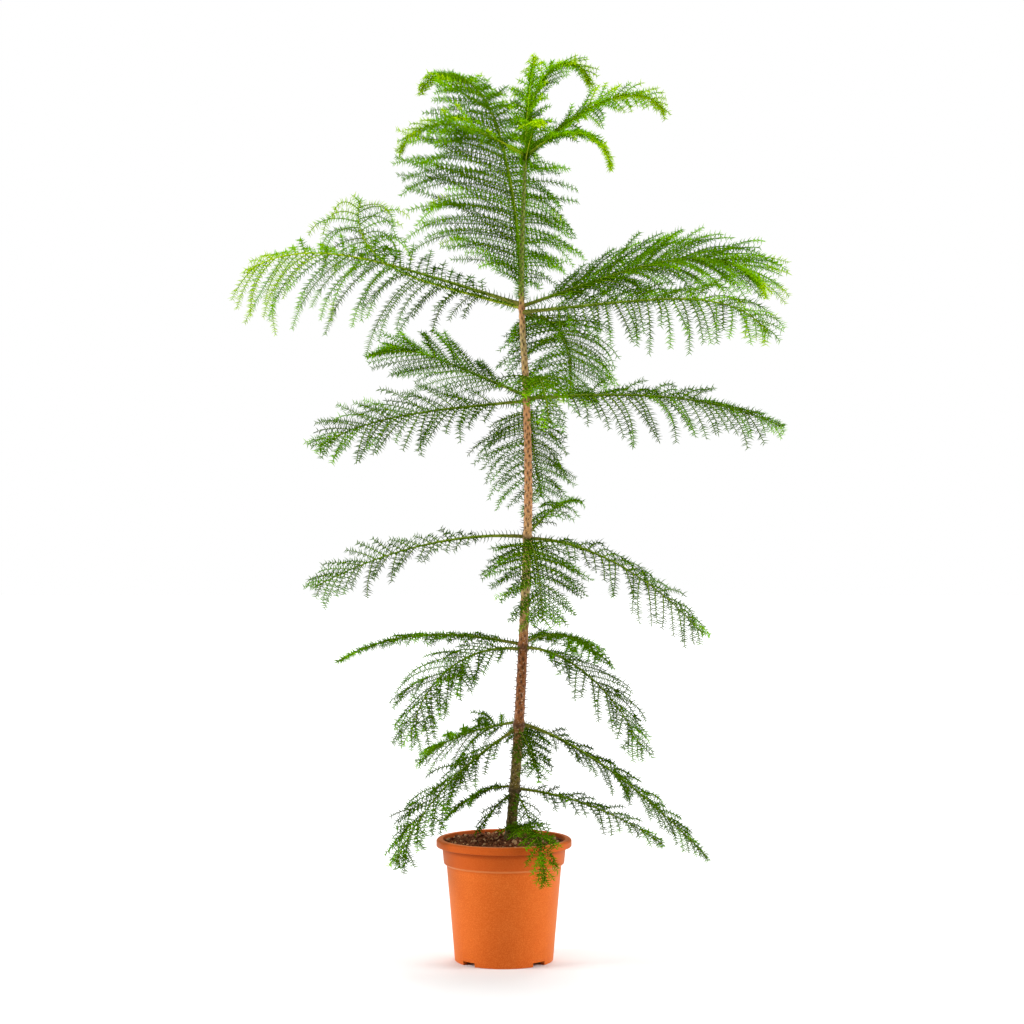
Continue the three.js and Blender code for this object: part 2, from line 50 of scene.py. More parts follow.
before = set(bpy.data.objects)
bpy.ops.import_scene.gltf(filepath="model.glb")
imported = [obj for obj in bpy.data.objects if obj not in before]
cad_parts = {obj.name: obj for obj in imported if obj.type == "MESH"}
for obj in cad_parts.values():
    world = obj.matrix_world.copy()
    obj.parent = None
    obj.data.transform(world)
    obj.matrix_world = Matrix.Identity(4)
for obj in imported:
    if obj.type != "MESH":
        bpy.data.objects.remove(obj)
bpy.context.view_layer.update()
POT_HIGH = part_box("pot")[1]
SOIL_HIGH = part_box("soil")[1]

MM = 0.001
UP = np.array((0.0, 0.0, 1.0))
GOLDEN_TURN = math.pi * (3 - math.sqrt(5))

# Heights in metres: where the pot's plastic darkens to the collar's, partly its deeper colour and partly painted
# shade, and the stops of two narrow bands on it, a painted highlight along the ledge's edge and a painted shadow
# under the lip
COLLAR_DARKENING = (0.143, 0.153)
LEDGE_HIGHLIGHT = (0.1482, 0.1496, 0.1518, 0.1532)
LIP_SHADOW = (0.1690, 0.1775, 0.1782, 0.1788)


# Rule of growth, shared with the solids. Lengths in these tables are millimetres, angles degrees.

# Trunk: height, sideways and depth of its centre line, and its radii
TRUNK_LINE = MM * np.array(
    [
        (187.0, 10, 12), (330, 21, 6), (520, 31, 2), (720, 38, 0), (880, 35, 0), (1030, 27.5, 0), (1150, 29, 0),
        (1276, 34, 0),
    ]
)
TRUNK_FOOT = TRUNK_LINE[0, 0]
TRUNK_TOP = TRUNK_LINE[-1, 0]
TRUNK_RADIUS = 8.3 * MM
TRUNK_TIP_RADIUS = 2.5 * MM
TRUNK_TAPER = 1.7
ROOT_FLARE = 2.6 * MM
FLARE_HEIGHT = 14 * MM

# Boughs
RIB_STEPS = 32
BOUGH_RADIUS = 1.7 * MM
BOUGH_RADIUS_BY_LENGTH = 1 / 290
BOUGH_TIP_SHARE = 0.28
BOUGH_TAPER = 1.7
BOUGH_COLLAR = 0.35
BOUGH_COLLAR_LENGTH = 7 * MM
SEED = 1000
SEED_STEP = 37

# Sprays, and the forks of some of them
FEWEST_SPRAYS = 5
SPRAY_STEPS = 8
SPRAY_EARLIEST = 0.2
SPRAY_PLACE_SPREAD = 0.6
LAST_SPRAY_AT = 0.985
SPRAY_SIZE_SPREAD = 0.4
SPRAY_LEAST_SIZE = 1 - SPRAY_SIZE_SPREAD / 1.5
SPRAY_ANGLE_SPREAD = 20
SPRAY_LIFT_SPREAD = 30
SPRAY_SAG_SPREAD = 0.7
SPRAY_CURL_SPREAD = 0.5
SHORT_SPRAY_SAG = 0.4
RISING_SPRAY_STIFFNESS = 0.5
TIP_NARROWING = 24
FORKED_LENGTH = 30 * MM
FORK_SPACING = 22 * MM
FORK_EARLIEST = 0.25
FORK_PLACE_SPREAD = 0.5
FORK_TILT = 0.4
FORK_ANGLES = (38, 60)
FORK_CURL = 0.4
FORK_SAG = 0.25
FORK_LENGTHS = (0.3, 0.52)
TRUNK_CLEARANCE = 1 * MM
POT_SIDE_CLEARANCE = 3 * MM
POT_TOP_CLEARANCE = 4 * MM

# Shades of green from the oldest needles to the newest, which through the boughs' tones also stand partly for painted
# light and shade, and how a spray's level among them is found
SHADES = ("dusk", "deep", "leaf", "fresh", "tip", "lime")
LEVEL_MIDDLE = 0.55
LEVEL_SPREAD = 0.55
FLUSH_POWER = 6
MOST_NEEDLES = 18000
USUAL_NEEDLE = 9 * MM

# Whorls of boughs from the crown down. A bough leaves the trunk at height + step towards its azimuth (0 right,
# 90 back), starts at the slope rise and ends at the slope fall, changing as share ** bend, while its heading
# turns by sweep. Its two rows of sprays lie in a plane turned by roll and raised by lift, leave the rib at
# angle, are up to span long and gap apart, and sag by droop. The row on the right is longer by skew. The first
# share, bare, has no sprays. They start at the share first of their length, grow to all of it at the share
# swell, and shrink to the share last at the tip, later with a higher fade and faster with a higher taper. forks
# is the chance that a spray forks. A higher tone is a paler green, by ramp more so towards the bough's tip, by
# flush at the very tip and by tip at the ends of its sprays. A bough's own tone is partly painted light: it
# lightens or darkens the bough's needles for the light or shade that the bough lies in. needle is the usual length
# of a needle, and rib the room between needles on the bough itself as a share of that on its sprays. A limbless
# bough has no solid limb.
LENGTH_FIELDS = ("length", "span", "gap", "step", "needle")
ROW_FIELDS = ("name", "step", "azimuth", "length", "rise", "fall", "bend", "span")
BOUGH_DEFAULTS = dict(
    sweep=0, roll=0, lift=5, skew=0, bare=0.12, first=0.55, swell=0.25, last=0.16, fade=5, taper=0.7, forks=0,
    limbless=False, tone=0, ramp=1.3, flush=0.4, tip=0.45, rib=1.3,
)


def row(*values, **own):
    """One bough: the fields of ROW_FIELDS in order, then those in which it differs from its whorl."""
    return dict(zip(ROW_FIELDS, values), **own)


WHORLS = (
    dict(
        name="crown", height=1262, tone=3.5, needle=8.2,
        common=dict(
            gap=13, angle=56, lift=10, droop=0.5, bare=0.2, last=0.24, fade=2, taper=1.7, limbless=True, ramp=2,
            flush=1, tip=1, rib=0.55,
        ),
        boughs=(
            row("right", 2, 10, 260, 36, -64, 4, 64, roll=20, gap=11, last=0.36, taper=1.5, tone=0.3),
            row("right_front", -4, -30, 190, 34, -88, 1.6, 48),
            row("top_right", -23, 85, 268, 74, -95, 4, 54, sweep=-80, gap=10, last=0.5, taper=1, tone=0.4),
            row("top", 14, 62, 148, 84, 66, 2, 46),
            row("left", -2, 172, 230, 30, -74, 2.6, 62, roll=-20, gap=14, tone=0.7),
            row("front", -11, -80, 150, 35, -30, 2, 50),
        ),
    ),
    dict(
        name="tier6", height=1021, tone=2.4, needle=10,
        common=dict(gap=15, angle=62, droop=0.6, flush=0.8, tip=1),
        boughs=(
            row("left", 5, 160, 502, 18, -34, 4, 102, roll=45, angle=70, droop=0.8, skew=-0.45, gap=16, fade=7,
                tone=0.6, ramp=4.6, rib=2.2),
            row("right", 2, -3, 388, 19, -48, 4, 122, roll=-35, lift=12, angle=46, droop=0.5, skew=-0.1, gap=7.2,
                last=0.28, fade=6, tone=0.3),
            row("right_front", -7, -27, 430, 3, -60, 5, 92, roll=-40, droop=0.75),
            row("right_back", -9, 50, 290, 0, -52, 1.1, 118, sweep=45, angle=72, skew=-0.1, gap=8, tone=-0.3),
            row("left_back", 0, 143, 428, 15, 120, 5, 108, roll=30, angle=74, droop=1.2, gap=11, bare=0.7,
                first=0.3, swell=0.5, last=0.1, fade=6, limbless=True, tone=0.9),
            row("back", 8, 92, 515, 72, -75, 6, 192, sweep=70, lift=0, angle=78, droop=0.52, skew=-0.2, gap=5.9,
                bare=0.06, first=0.25, swell=0.22, last=0.05, fade=2, taper=1.5, tone=0.1, ramp=0.3, flush=2.6),
        ),
    ),
    dict(
        name="tier5", height=877, tone=1.9, needle=10,
        common=dict(gap=13, angle=54, droop=0.6, bare=0.14),
        boughs=(
            row("left_back", 6, 140, 320, 20, -4, 5, 125, roll=40, angle=32, droop=0.3, gap=16, fade=2.5, tone=0.35),
            row("left_front", -2, -165, 340, -6, -32, 3, 84, roll=45, lift=12, angle=50, droop=0.45),
            row("right", 2, -8, 405, 3, -26, 2, 86, roll=-35, droop=0.75, skew=0.25, gap=13.5, fade=2.5),
            row("back", -7, 90, 275, -10, -58, 1.1, 94, sweep=-15, angle=72, skew=-0.2, gap=9, tone=-0.3),
            row("front", 0, -83, 285, 22, -60, 1.5, 70, gap=18, tone=0.1, rib=2.6),
        ),
    ),
    dict(
        name="tier4", height=660, tone=1.6, needle=9.8,
        common=dict(gap=16, angle=56, droop=0.6, bare=0.15, rib=2),
        boughs=(
            row("left", 2, 178, 352, 6, -29, 0.8, 76, roll=50, droop=0.42, bare=0.2, first=0.2, swell=0.8, tone=-0.2),
            row("right", -1, -5, 322, 6, -49, 0.6, 72, roll=-40, angle=68, droop=1, first=0.4, swell=0.4),
            row("front", -6, -84, 250, 4, -62, 1, 92, angle=66, droop=0.36, gap=7.5, fade=3),
            row("back", 6, 72, 266, 18, 0, 2, 44, gap=24, rib=2.4),
        ),
    ),
    dict(
        name="tier3", height=489, tone=1.5, needle=9.6,
        common=dict(gap=16, angle=52, droop=0.55, forks=0.22, rib=1.6),
        boughs=(
            row("left", 4, 165, 318, 10, -32, 1.6, 44, roll=10, gap=12, bare=0.1, fade=1.2, tone=0.7),
            row("left_front", -4, -150, 262, 10, -80, 1.1, 96, roll=20, tone=0.6),
            row("right_front", -1, -30, 274, 10, -63, 0.6, 72, roll=-15),
            row("right_back", 6, 55, 235, 14, -40, 1.2, 70, gap=18, tone=0.4),
        ),
    ),
    dict(
        name="tier2", height=367, tone=1.4, needle=9.4,
        common=dict(gap=17, angle=52, droop=0.45, fade=3, forks=0.22, rib=1.6),
        boughs=(
            row("right", 2, 8, 376, -3, -47, 0.35, 64, roll=-24, angle=54),
            row("left_back", 5, 140, 212, -10, -30, 1.5, 90, roll=35, tone=0.5),
            row("left_front", -4, -165, 288, -30, -65, 1.2, 90, roll=15, gap=15, tone=0.6),
            row("front", -8, -70, 115, -20, -50, 1, 45, limbless=True),
            row("back", 0, 82, 215, -5, -45, 1, 58),
        ),
    ),
    dict(
        name="tier1", height=265, tone=1.5, needle=9.2,
        common=dict(gap=16, angle=54, droop=0.45, fade=3, forks=0.22, limbless=True, rib=1.6),
        boughs=(
            row("right", 2, -10, 252, -4, -35, 1, 46, roll=-22, gap=17),
            row("left_back", 4, 165, 125, 12, -46, 0.6, 46, gap=15, tone=0.5),
            row("left_front", -3, -160, 85, -30, -60, 1, 38),
            row("front", -6, -65, 75, -10, -60, 1, 36),
        ),
    ),
    dict(
        name="basal", height=200, tone=1.6, needle=8.6,
        common=dict(gap=15, angle=50, lift=12, droop=0.5, fade=3, forks=0.35, limbless=True),
        boughs=(row("front", 0, -72, 205, 16, -104, 2.2, 52),),
    ),
)


def linear(code):
    """A web colour such as #d8662a as the linear colour that shaders use."""
    parts = [int(code[i : i + 2], 16) / 255 for i in (1, 3, 5)]
    return [c / 12.92 if c <= 0.04045 else ((c + 0.055) / 1.055) ** 2.4 for c in parts]


def colour_property(name, description, code):
    """A colour that a user may change."""
    return FloatVectorProperty(
        name=name, description=description, subtype="COLOR", size=3, min=0, max=1, default=linear(code)
    )


def length_property(name, description, default):
    """A length in metres that a user may change."""
    return FloatProperty(name=name, description=description, unit="LENGTH", precision=4, min=0, default=default)


def share_property(name, description, least, default):
    """A share of a usual size that a user may change."""
    return FloatProperty(name=name, description=description, subtype="FACTOR", min=least, default=default)


def angle_property(name, description, degrees):
    """An angle that a user may change."""
    return FloatProperty(name=name, description=description, subtype="ANGLE", default=math.radians(degrees))


def unit(vectors):
    """Vectors of length one."""
    vectors = np.asarray(vectors, float)
    return vectors / np.maximum(np.linalg.norm(vectors, axis=-1, keepdims=True), 1e-12)


# Settings


class PinePotSettings(PropertyGroup):
    """Sizes and colours of the pot and its soil."""

    height: length_property("Height", "Floor to the top of the lip", POT_HIGH.z)
    lip_radius: length_property("Lip radius", "Outside of the turned-down lip", POT_HIGH.x)
    soil_height: length_property("Soil height", "Top of the mound that the trunk stands on", SOIL_HIGH.z)
    orange: colour_property("Orange", "Plastic of the body", "#c75714")
    orange_worn: colour_property("Worn orange", "Paler mottling of the plastic", "#dc742e")
    # Orange of the collar and lip: partly the plastic's deeper colour, partly painted shade under the lip and foliage
    deep_and_shaded_orange: colour_property("Deep orange", "Less faded plastic of the collar and lip", "#ae460f")
    # Colour of a painted shadow under the lip's overhang
    lip_shadow: colour_property("Groove", "Plastic under the lip", "#8a3408")
    # Tint of the shader's sheen, and the colour of a painted highlight along the ledge's edge
    sheen_and_highlight: colour_property("Bloom", "Sheen of the plastic, and its colour at the ledge's edge", "#f8b878")
    earth: colour_property("Earth", "Moist soil", "#54280c")
    crumb: colour_property("Crumb", "Brown crumbs of bark and peat", "#7a4a2a")
    fleck: colour_property("Fleck", "Pale dry flecks", "#c49a70")
    crumbs: IntProperty(name="Crumbs", description="How many crumbs lie on the soil", min=0, default=900)


class PineBarkSettings(PropertyGroup):
    """Sizes and colours of the trunk and boughs."""

    relief: length_property("Relief", "Height of a leaf cushion on the trunk", 0.0009)
    knot: length_property("Knot", "Swelling of the trunk at a whorl", 0.0022)
    scar_step: length_property("Scar step", "Rise from one leaf scar to the next", 0.0017)
    foot: colour_property("Foot bark", "Old bark by the soil", "#62540e")
    rust: colour_property("Rusty bark", "Red-brown bark of the lower trunk", "#8e4e22")
    straw: colour_property("Straw bark", "Yellowish bark between the others", "#b4a064")
    copper: colour_property("Copper bark", "Pinkish bark of the middle", "#d0935e")
    leader: colour_property("Leader bark", "Green bark of the leading shoot", "#8c9a3c")
    scar: colour_property("Scar", "Dark leaf scars", "#2a1606")
    flake: colour_property("Flake", "Pale flakes of the bark", "#ecc8a4")
    bough_old: colour_property("Old bough", "Bough by the trunk", "#6c6a24")
    bough_young: colour_property("Young bough", "Bough towards its tip", "#748e12")
    bough_fresh: colour_property("Fresh bough", "Bough where its needles are the palest", "#c8da1c")


class PineFoliageSettings(PropertyGroup):
    """Sizes and colours of the twigs and needles."""

    spray_spacing: share_property("Spray spacing", "Distance between sprays, as a share of the rule's own", 0.3, 0.92)
    twig_radius: length_property("Twig radius", "Radius of a twig at its root", 0.00095)
    needle_scale: share_property("Needle scale", "Length of the needles, as a share of the table's", 0.1, 1)
    needle_radius: length_property("Needle radius", "Radius of a needle at its root", 0.0009)
    needle_gap: length_property("Needle gap", "Distance along a twig between needles 9 mm long", 0.0013)
    needle_lean: angle_property("Needle lean", "Angle between a needle's root and its twig", 82)
    needle_curl: angle_property("Needle curl", "How far a needle bends forward by its tip", 18)
    # Needle colours: old to new growth, and through the boughs' tones also partly painted light and shade
    dusk: colour_property("Dusk", "Oldest needles", "#2e4804")
    deep: colour_property("Deep", "Old needles", "#3a5c04")
    leaf: colour_property("Leaf", "Grown needles", "#4a7404")
    fresh: colour_property("Fresh", "Young needles", "#629804")
    tip: colour_property("Tip", "Newest needles", "#88c404")
    lime: colour_property("Lime", "Newest needles in full light", "#b0d80a")
    dry: colour_property("Dry", "Dead needles left on the trunk", "#4a3a1c")
    twig_old: colour_property("Old twig", "Twigs of the lower whorls", "#5c6e14")
    twig_young: colour_property("Young twig", "Twigs of the upper whorls", "#7f9e12")


class PineStageSettings(PropertyGroup):
    """Floor, light and camera."""

    floor: colour_property("Floor", "Plain pale floor", "#eeeeee")
    floor_size: length_property("Floor size", "Side of the floor", 30.0)
    camera_place: FloatVectorProperty(
        name="Camera place", description="Where the photograph was taken from", subtype="TRANSLATION",
        unit="LENGTH", size=3, default=(0.0125, -3.470, 0.701),
    )
    lens: FloatProperty(name="Lens", description="Focal length in millimetres", min=10, default=77.84)
    sky: FloatProperty(name="Sky", description="Strength of the soft light all round", min=0, default=0.32)
    key: FloatProperty(name="Key", description="Strength of the lights, times each one's share", min=0, default=1.8)


class PineSettings(PropertyGroup):
    """All settings of the potted pine."""

    pot: PointerProperty(type=PinePotSettings, name="Pot", description="Pot and soil")
    bark: PointerProperty(type=PineBarkSettings, name="Bark", description="Trunk and boughs")
    foliage: PointerProperty(type=PineFoliageSettings, name="Foliage", description="Twigs and needles")
    stage: PointerProperty(type=PineStageSettings, name="Stage", description="Floor, light and camera")


# Shader maths


class Value:
    """A shader socket that can stand in a sum. Each operation adds the Math node that it needs."""

    def __init__(self, finish, socket):
        self.finish = finish
        self.socket = socket

    def math(self, operation, first, second):
        return self.finish.node("ShaderNodeMath", {"operation": operation}, {0: first, 1: second})

    def __add__(self, other):
        return self.math("ADD", self, other)

    def __radd__(self, other):
        return self.math("ADD", other, self)

    def __sub__(self, other):
        return self.math("SUBTRACT", self, other)

    def __rsub__(self, other):
        return self.math("SUBTRACT", other, self)

    def __mul__(self, other):
        return self.math("MULTIPLY", self, other)

    def __rmul__(self, other):
        return self.math("MULTIPLY", other, self)


class Finish:
    """A material with one Principled shader, whose sockets take plain values or the results of nodes."""

    MIX_FIRST, MIX_SECOND, MIX_RESULT = 6, 7, 2

    def __init__(self, name):
        self.material = bpy.data.materials.new(name)
        self.material.use_nodes = True
        self.tree = self.material.node_tree
        self.shader = self.tree.nodes["Principled BSDF"]

    def feed(self, socket, value):
        """Sets a socket to a value, or links it."""
        if isinstance(value, Value):
            self.tree.links.new(value.socket, socket)
        elif socket.type == "RGBA" and len(value) == 3:
            socket.default_value = (*value, 1)
        else:
            socket.default_value = value

    def node(self, kind, settings, sockets, output=0):
        """Any node: its settings are set first, then its sockets are given values or links."""
        made = self.tree.nodes.new(kind)
        for name, value in settings.items():
            if name == "stops":
                self.set_stops(made.color_ramp, value)
            else:
                setattr(made, name, value)
        for name, value in sockets.items():
            self.feed(made.inputs[name], value)
        return Value(self, made.outputs[output])

    @staticmethod
    def set_stops(ramp, stops):
        """Gives a ramp its stops, as places and colours."""
        while len(ramp.elements) < len(stops):
            ramp.elements.new(1)
        for element, (place, colour) in zip(ramp.elements, stops):
            element.position = place
            element.color = (*colour, 1)

    def place(self):
        """The point on the piece, in its own frame."""
        return self.node("ShaderNodeTexCoord", {}, {}, "Object")

    def height(self):
        """The point's height above the floor."""
        return self.node("ShaderNodeSeparateXYZ", {}, {"Vector": self.place()}, "Z")

    def noise(self, scale, detail=3, roughness=0.55):
        """Soft noise from 0 to 1."""
        sockets = {"Vector": self.place(), "Scale": scale, "Detail": detail, "Roughness": roughness}
        return self.node("ShaderNodeTexNoise", {}, sockets)

    def attribute(self, name):
        """A number stored at each point of the mesh."""
        return self.node("ShaderNodeAttribute", {"attribute_name": name}, {}, "Fac")

    def span(self, value, low, high):
        """The value's share of the way from low to high, smooth at both ends."""
        settings = {"interpolation_type": "SMOOTHSTEP"}
        return self.node("ShaderNodeMapRange", settings, {"Value": value, "From Min": low, "From Max": high})

    def band(self, value, stops):
        """One between the second and third of four rising stops, and none outside the first and last."""
        return self.span(value, stops[0], stops[1]) * self.span(value, stops[3], stops[2])

    def patches(self, low, high, **noise):
        """Soft patches: noise, spread out from between low and high."""
        return self.span(self.noise(**noise), low, high)

    def mix(self, factor, first, second):
        """A colour between two."""
        sockets = {"Factor": factor, self.MIX_FIRST: first, self.MIX_SECOND: second}
        return self.node("ShaderNodeMix", {"data_type": "RGBA"}, sockets, self.MIX_RESULT)

    def grain(self, strength, distance, **noise):
        """A surface normal bent by noise."""
        sockets = {"Height": self.noise(**noise), "Strength": strength, "Distance": distance}
        return self.node("ShaderNodeBump", {}, sockets)

    def shade(self, **sockets):
        """Sets the shader's own sockets, with spaces for underscores in their names."""
        for name, value in sockets.items():
            self.feed(self.shader.inputs[name.replace("_", " ")], value)
        return self.material


def plain_finish(name, colour, roughness=0.5, specular=0):
    """One plain colour, for needles, twigs or crumbs of one kind."""
    return Finish(name).shade(Base_Color=colour, Roughness=roughness, Specular_IOR_Level=specular)


def plastic_finish(settings):
    """Thin moulded plastic, mottled and slightly rough, darker at the collar, partly in colour and partly as painted
    shade, with a painted shadow under the lip and a painted highlight along the ledge's edge.
    """
    made = Finish("orange_plastic")
    height = made.height()
    cloud = made.patches(0.35, 0.7, scale=26, detail=4)
    speck = made.patches(0.35, 0.7, scale=640, detail=2)
    colour = made.mix(0.12 * cloud + 0.7 * speck, settings.orange, settings.orange_worn)
    # Painted shade: the collar and lip darken with height, partly their deeper colour and partly the shade under the
    # lip and foliage
    colour = made.mix(0.6 * made.span(height, *COLLAR_DARKENING), colour, settings.deep_and_shaded_orange)
    # Painted shadow in a narrow band just under the lip
    colour = made.mix(0.5 * made.band(height, LIP_SHADOW), colour, settings.lip_shadow)
    # Painted highlight along the ledge's edge
    colour = made.mix(0.2 * made.band(height, LEDGE_HIGHLIGHT), colour, settings.sheen_and_highlight)
    grain = made.grain(strength=0.12, distance=0.0006, scale=700, detail=2)
    return made.shade(
        Base_Color=colour, Roughness=0.42 + 0.16 * speck, Normal=grain, Specular_IOR_Level=0.06, Sheen_Weight=0.35,
        Sheen_Tint=settings.sheen_and_highlight,
    )


def earth_finish(settings):
    """Moist crumbly soil."""
    made = Finish("soil_earth")
    lump = made.patches(0.35, 0.7, scale=160, detail=5, roughness=0.7)
    fleck = made.patches(0.62, 0.78, scale=520)
    colour = made.mix(fleck, made.mix(lump, settings.earth, settings.crumb), settings.fleck)
    grain = made.grain(strength=0.7, distance=0.002, scale=600, detail=4, roughness=0.7)
    return made.shade(Base_Color=colour, Roughness=0.95, Normal=grain, Specular_IOR_Level=0.2)


# Shares of the trunk's height, and the colour of its bark there
BARK_BANDS = (
    (0.0, "foot"), (0.12, "foot"), (0.18, "rust"), (0.28, "rust"), (0.38, "straw"), (0.48, "copper"),
    (0.62, "copper"), (0.72, "straw"), (0.765, "copper"), (0.79, "leader"),
)


def bark_finish(settings):
    """Thin trunk bark, by height, with pale flakes and dark leaf scars and knots."""
    made = Finish("trunk_bark")
    share = (made.height() - TRUNK_FOOT) * (1 / (TRUNK_TOP - TRUNK_FOOT))
    stops = [(place, getattr(settings, name)) for place, name in BARK_BANDS]
    bark = made.node("ShaderNodeValToRGB", {"stops": stops}, {"Fac": share})
    streak = made.patches(0.3, 0.75, scale=240, detail=4, roughness=0.65)
    flake = made.patches(0.54, 0.7, scale=420)
    colour = made.mix(streak * 0.3, bark, settings.foot)
    colour = made.mix(flake * made.span(share, 0.8, 0.7) * 0.6, colour, settings.flake)
    colour = made.mix(made.attribute("scar"), colour, settings.scar)
    grain = made.grain(strength=0.2, distance=0.0004, scale=900)
    return made.shade(
        Base_Color=colour, Roughness=0.6 + 0.2 * streak, Normal=grain, Specular_IOR_Level=0.15, Sheen_Weight=0.25
    )


def bough_finish(settings):
    """Bough bark, from old by the trunk to young by the tip, and fresh where its needles are pale."""
    made = Finish("bough_bark")
    streak = made.patches(0.35, 0.7, scale=300)
    colour = made.mix(made.span(made.attribute("along"), 0.0, 0.22), settings.bough_old, settings.bough_young)
    colour = made.mix(streak * 0.3, colour, settings.bough_old)
    colour = made.mix(made.span(made.attribute("paleness"), 0.4, 0.75), colour, settings.bough_fresh)
    return made.shade(Base_Color=colour, Roughness=0.6 + 0.1 * streak, Specular_IOR_Level=0.15)


# Meshes


def joined_mesh(name, finish, points, *face_groups):
    """A smooth-shaded mesh object from an array of points and arrays of faces, each with its own corner count."""
    mesh = bpy.data.meshes.new(name)
    corners = np.concatenate([np.asarray(group, np.int32).ravel() for group in face_groups])
    sizes = np.concatenate([np.full(len(group), np.shape(group)[1], np.int32) for group in face_groups])
    mesh.vertices.add(len(points))
    mesh.vertices.foreach_set("co", np.ascontiguousarray(points, np.float32).ravel())
    mesh.loops.add(len(corners))
    mesh.loops.foreach_set("vertex_index", corners)
    mesh.polygons.add(len(sizes))
    mesh.polygons.foreach_set("loop_start", np.concatenate([[0], np.cumsum(sizes)[:-1]]).astype(np.int32))
    mesh.polygons.foreach_set("use_smooth", np.ones(len(sizes), bool))
    mesh.update(calc_edges=True)
    if mesh.validate():
        raise RuntimeError(f"{name} has faces that are not sound")
    mesh.materials.append(finish)
    return linked(name, mesh)


def shown(name, data):
    """A new object in the scene, at the origin."""
    made = bpy.data.objects.new(name, data)
    bpy.context.scene.collection.objects.link(made)
    return made


def linked(name, mesh):
    """An object that shows the mesh and moves with the model."""
    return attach(shown(name, mesh), "root")


def point_numbers(piece, name, values):
    """Stores a number at each point of a piece."""
    stored = piece.data.attributes.new(name, "FLOAT", "POINT")
    stored.data.foreach_set("value", np.asarray(values, np.float32).ravel())


def tube_piece(name, finish, lines, radii, across, sides):
    """Closed tubes along lines of equal point count, as one piece. across is one direction for each line."""
    count, rows = lines.shape[:2]
    heading = unit(np.gradient(lines, axis=1))
    first = np.broadcast_to(across[:, None, :], lines.shape)
    first = unit(first - heading * np.sum(first * heading, axis=2, keepdims=True))
    second = np.cross(heading, first)
    turn = np.arange(sides) * 2 * math.pi / sides
    ring = first[:, :, None] * np.cos(turn)[:, None] + second[:, :, None] * np.sin(turn)[:, None]
    points = lines[:, :, None] + ring * np.broadcast_to(radii, (count, rows, sides))[..., None]
    index = np.arange(count * rows * sides).reshape(count, rows, sides)
    beside = np.roll(index, -1, axis=2)
    walls = np.stack([index[:, :-1], beside[:, :-1], beside[:, 1:], index[:, 1:]], axis=-1).reshape(-1, 4)
    caps = np.concatenate([index[:, 0, ::-1], index[:, -1]])
    return joined_mesh(name, finish, points.reshape(-1, 3), walls, caps)


def lathe(outline, steps):
    """A closed bmesh turned about Z from an outline of radii and heights that starts and ends on the axis."""
    made = bmesh.new()
    corners = [made.verts.new((radius, 0, height)) for radius, height in outline]
    edges = [made.edges.new(pair) for pair in zip(corners, corners[1:])]
    bmesh.ops.spin(
        made, geom=corners + edges, cent=(0, 0, 0), axis=(0, 0, 1), angle=2 * math.pi, steps=steps, use_merge=True
    )
    bmesh.ops.remove_doubles(made, verts=made.verts, dist=1e-6)
    bmesh.ops.recalc_face_normals(made, faces=made.faces)
    return made


def mesh_of(name, made, smooth=True):
    """A mesh from a bmesh, which is freed."""
    for face in made.faces:
        face.smooth = smooth
    mesh = bpy.data.meshes.new(name)
    made.to_mesh(mesh)
    made.free()
    return mesh


# Growth


def trunk_at(heights):
    """Centre of the trunk at each height: a smooth line through its stations."""
    height = np.clip(np.atleast_1d(np.asarray(heights, float)), TRUNK_FOOT, TRUNK_TOP)
    last = len(TRUNK_LINE) - 1
    k = np.clip(np.searchsorted(TRUNK_LINE[:, 0], height, side="right") - 1, 0, last - 1)
    before, start, end, after = (TRUNK_LINE[np.clip(k + i, 0, last)] for i in (-1, 0, 1, 2))
    rise = (end - start)[:, :1]
    t = (height[:, None] - start[:, :1]) / rise
    leave = (end - before) / (end - before)[:, :1] * rise
    arrive = (after - start) / (after - start)[:, :1] * rise
    made = (2 * t**3 - 3 * t**2 + 1) * start + (3 * t**2 - 2 * t**3) * end
    made += (t**3 - 2 * t**2 + t) * leave + (t**3 - t**2) * arrive
    return np.column_stack([made[:, 1], made[:, 2], height])


def trunk_radius(heights):
    """Radius of the trunk at each height, with its root flare."""
    rise = np.clip(np.asarray(heights, float) - TRUNK_FOOT, 0, None)
    share = np.clip(rise / (TRUNK_TOP - TRUNK_FOOT), 0, 1)
    taper = TRUNK_TIP_RADIUS + (TRUNK_RADIUS - TRUNK_TIP_RADIUS) * (1 - share**TRUNK_TAPER)
    return taper + ROOT_FLARE * np.exp(-rise / FLARE_HEIGHT)


def seeded_draw(seed):
    """A source of even numbers from 0 to 1, the same at each run."""
    state = seed
    while True:
        state = (1664525 * state + 1013904223) % 2**32
        yield state / 2**32


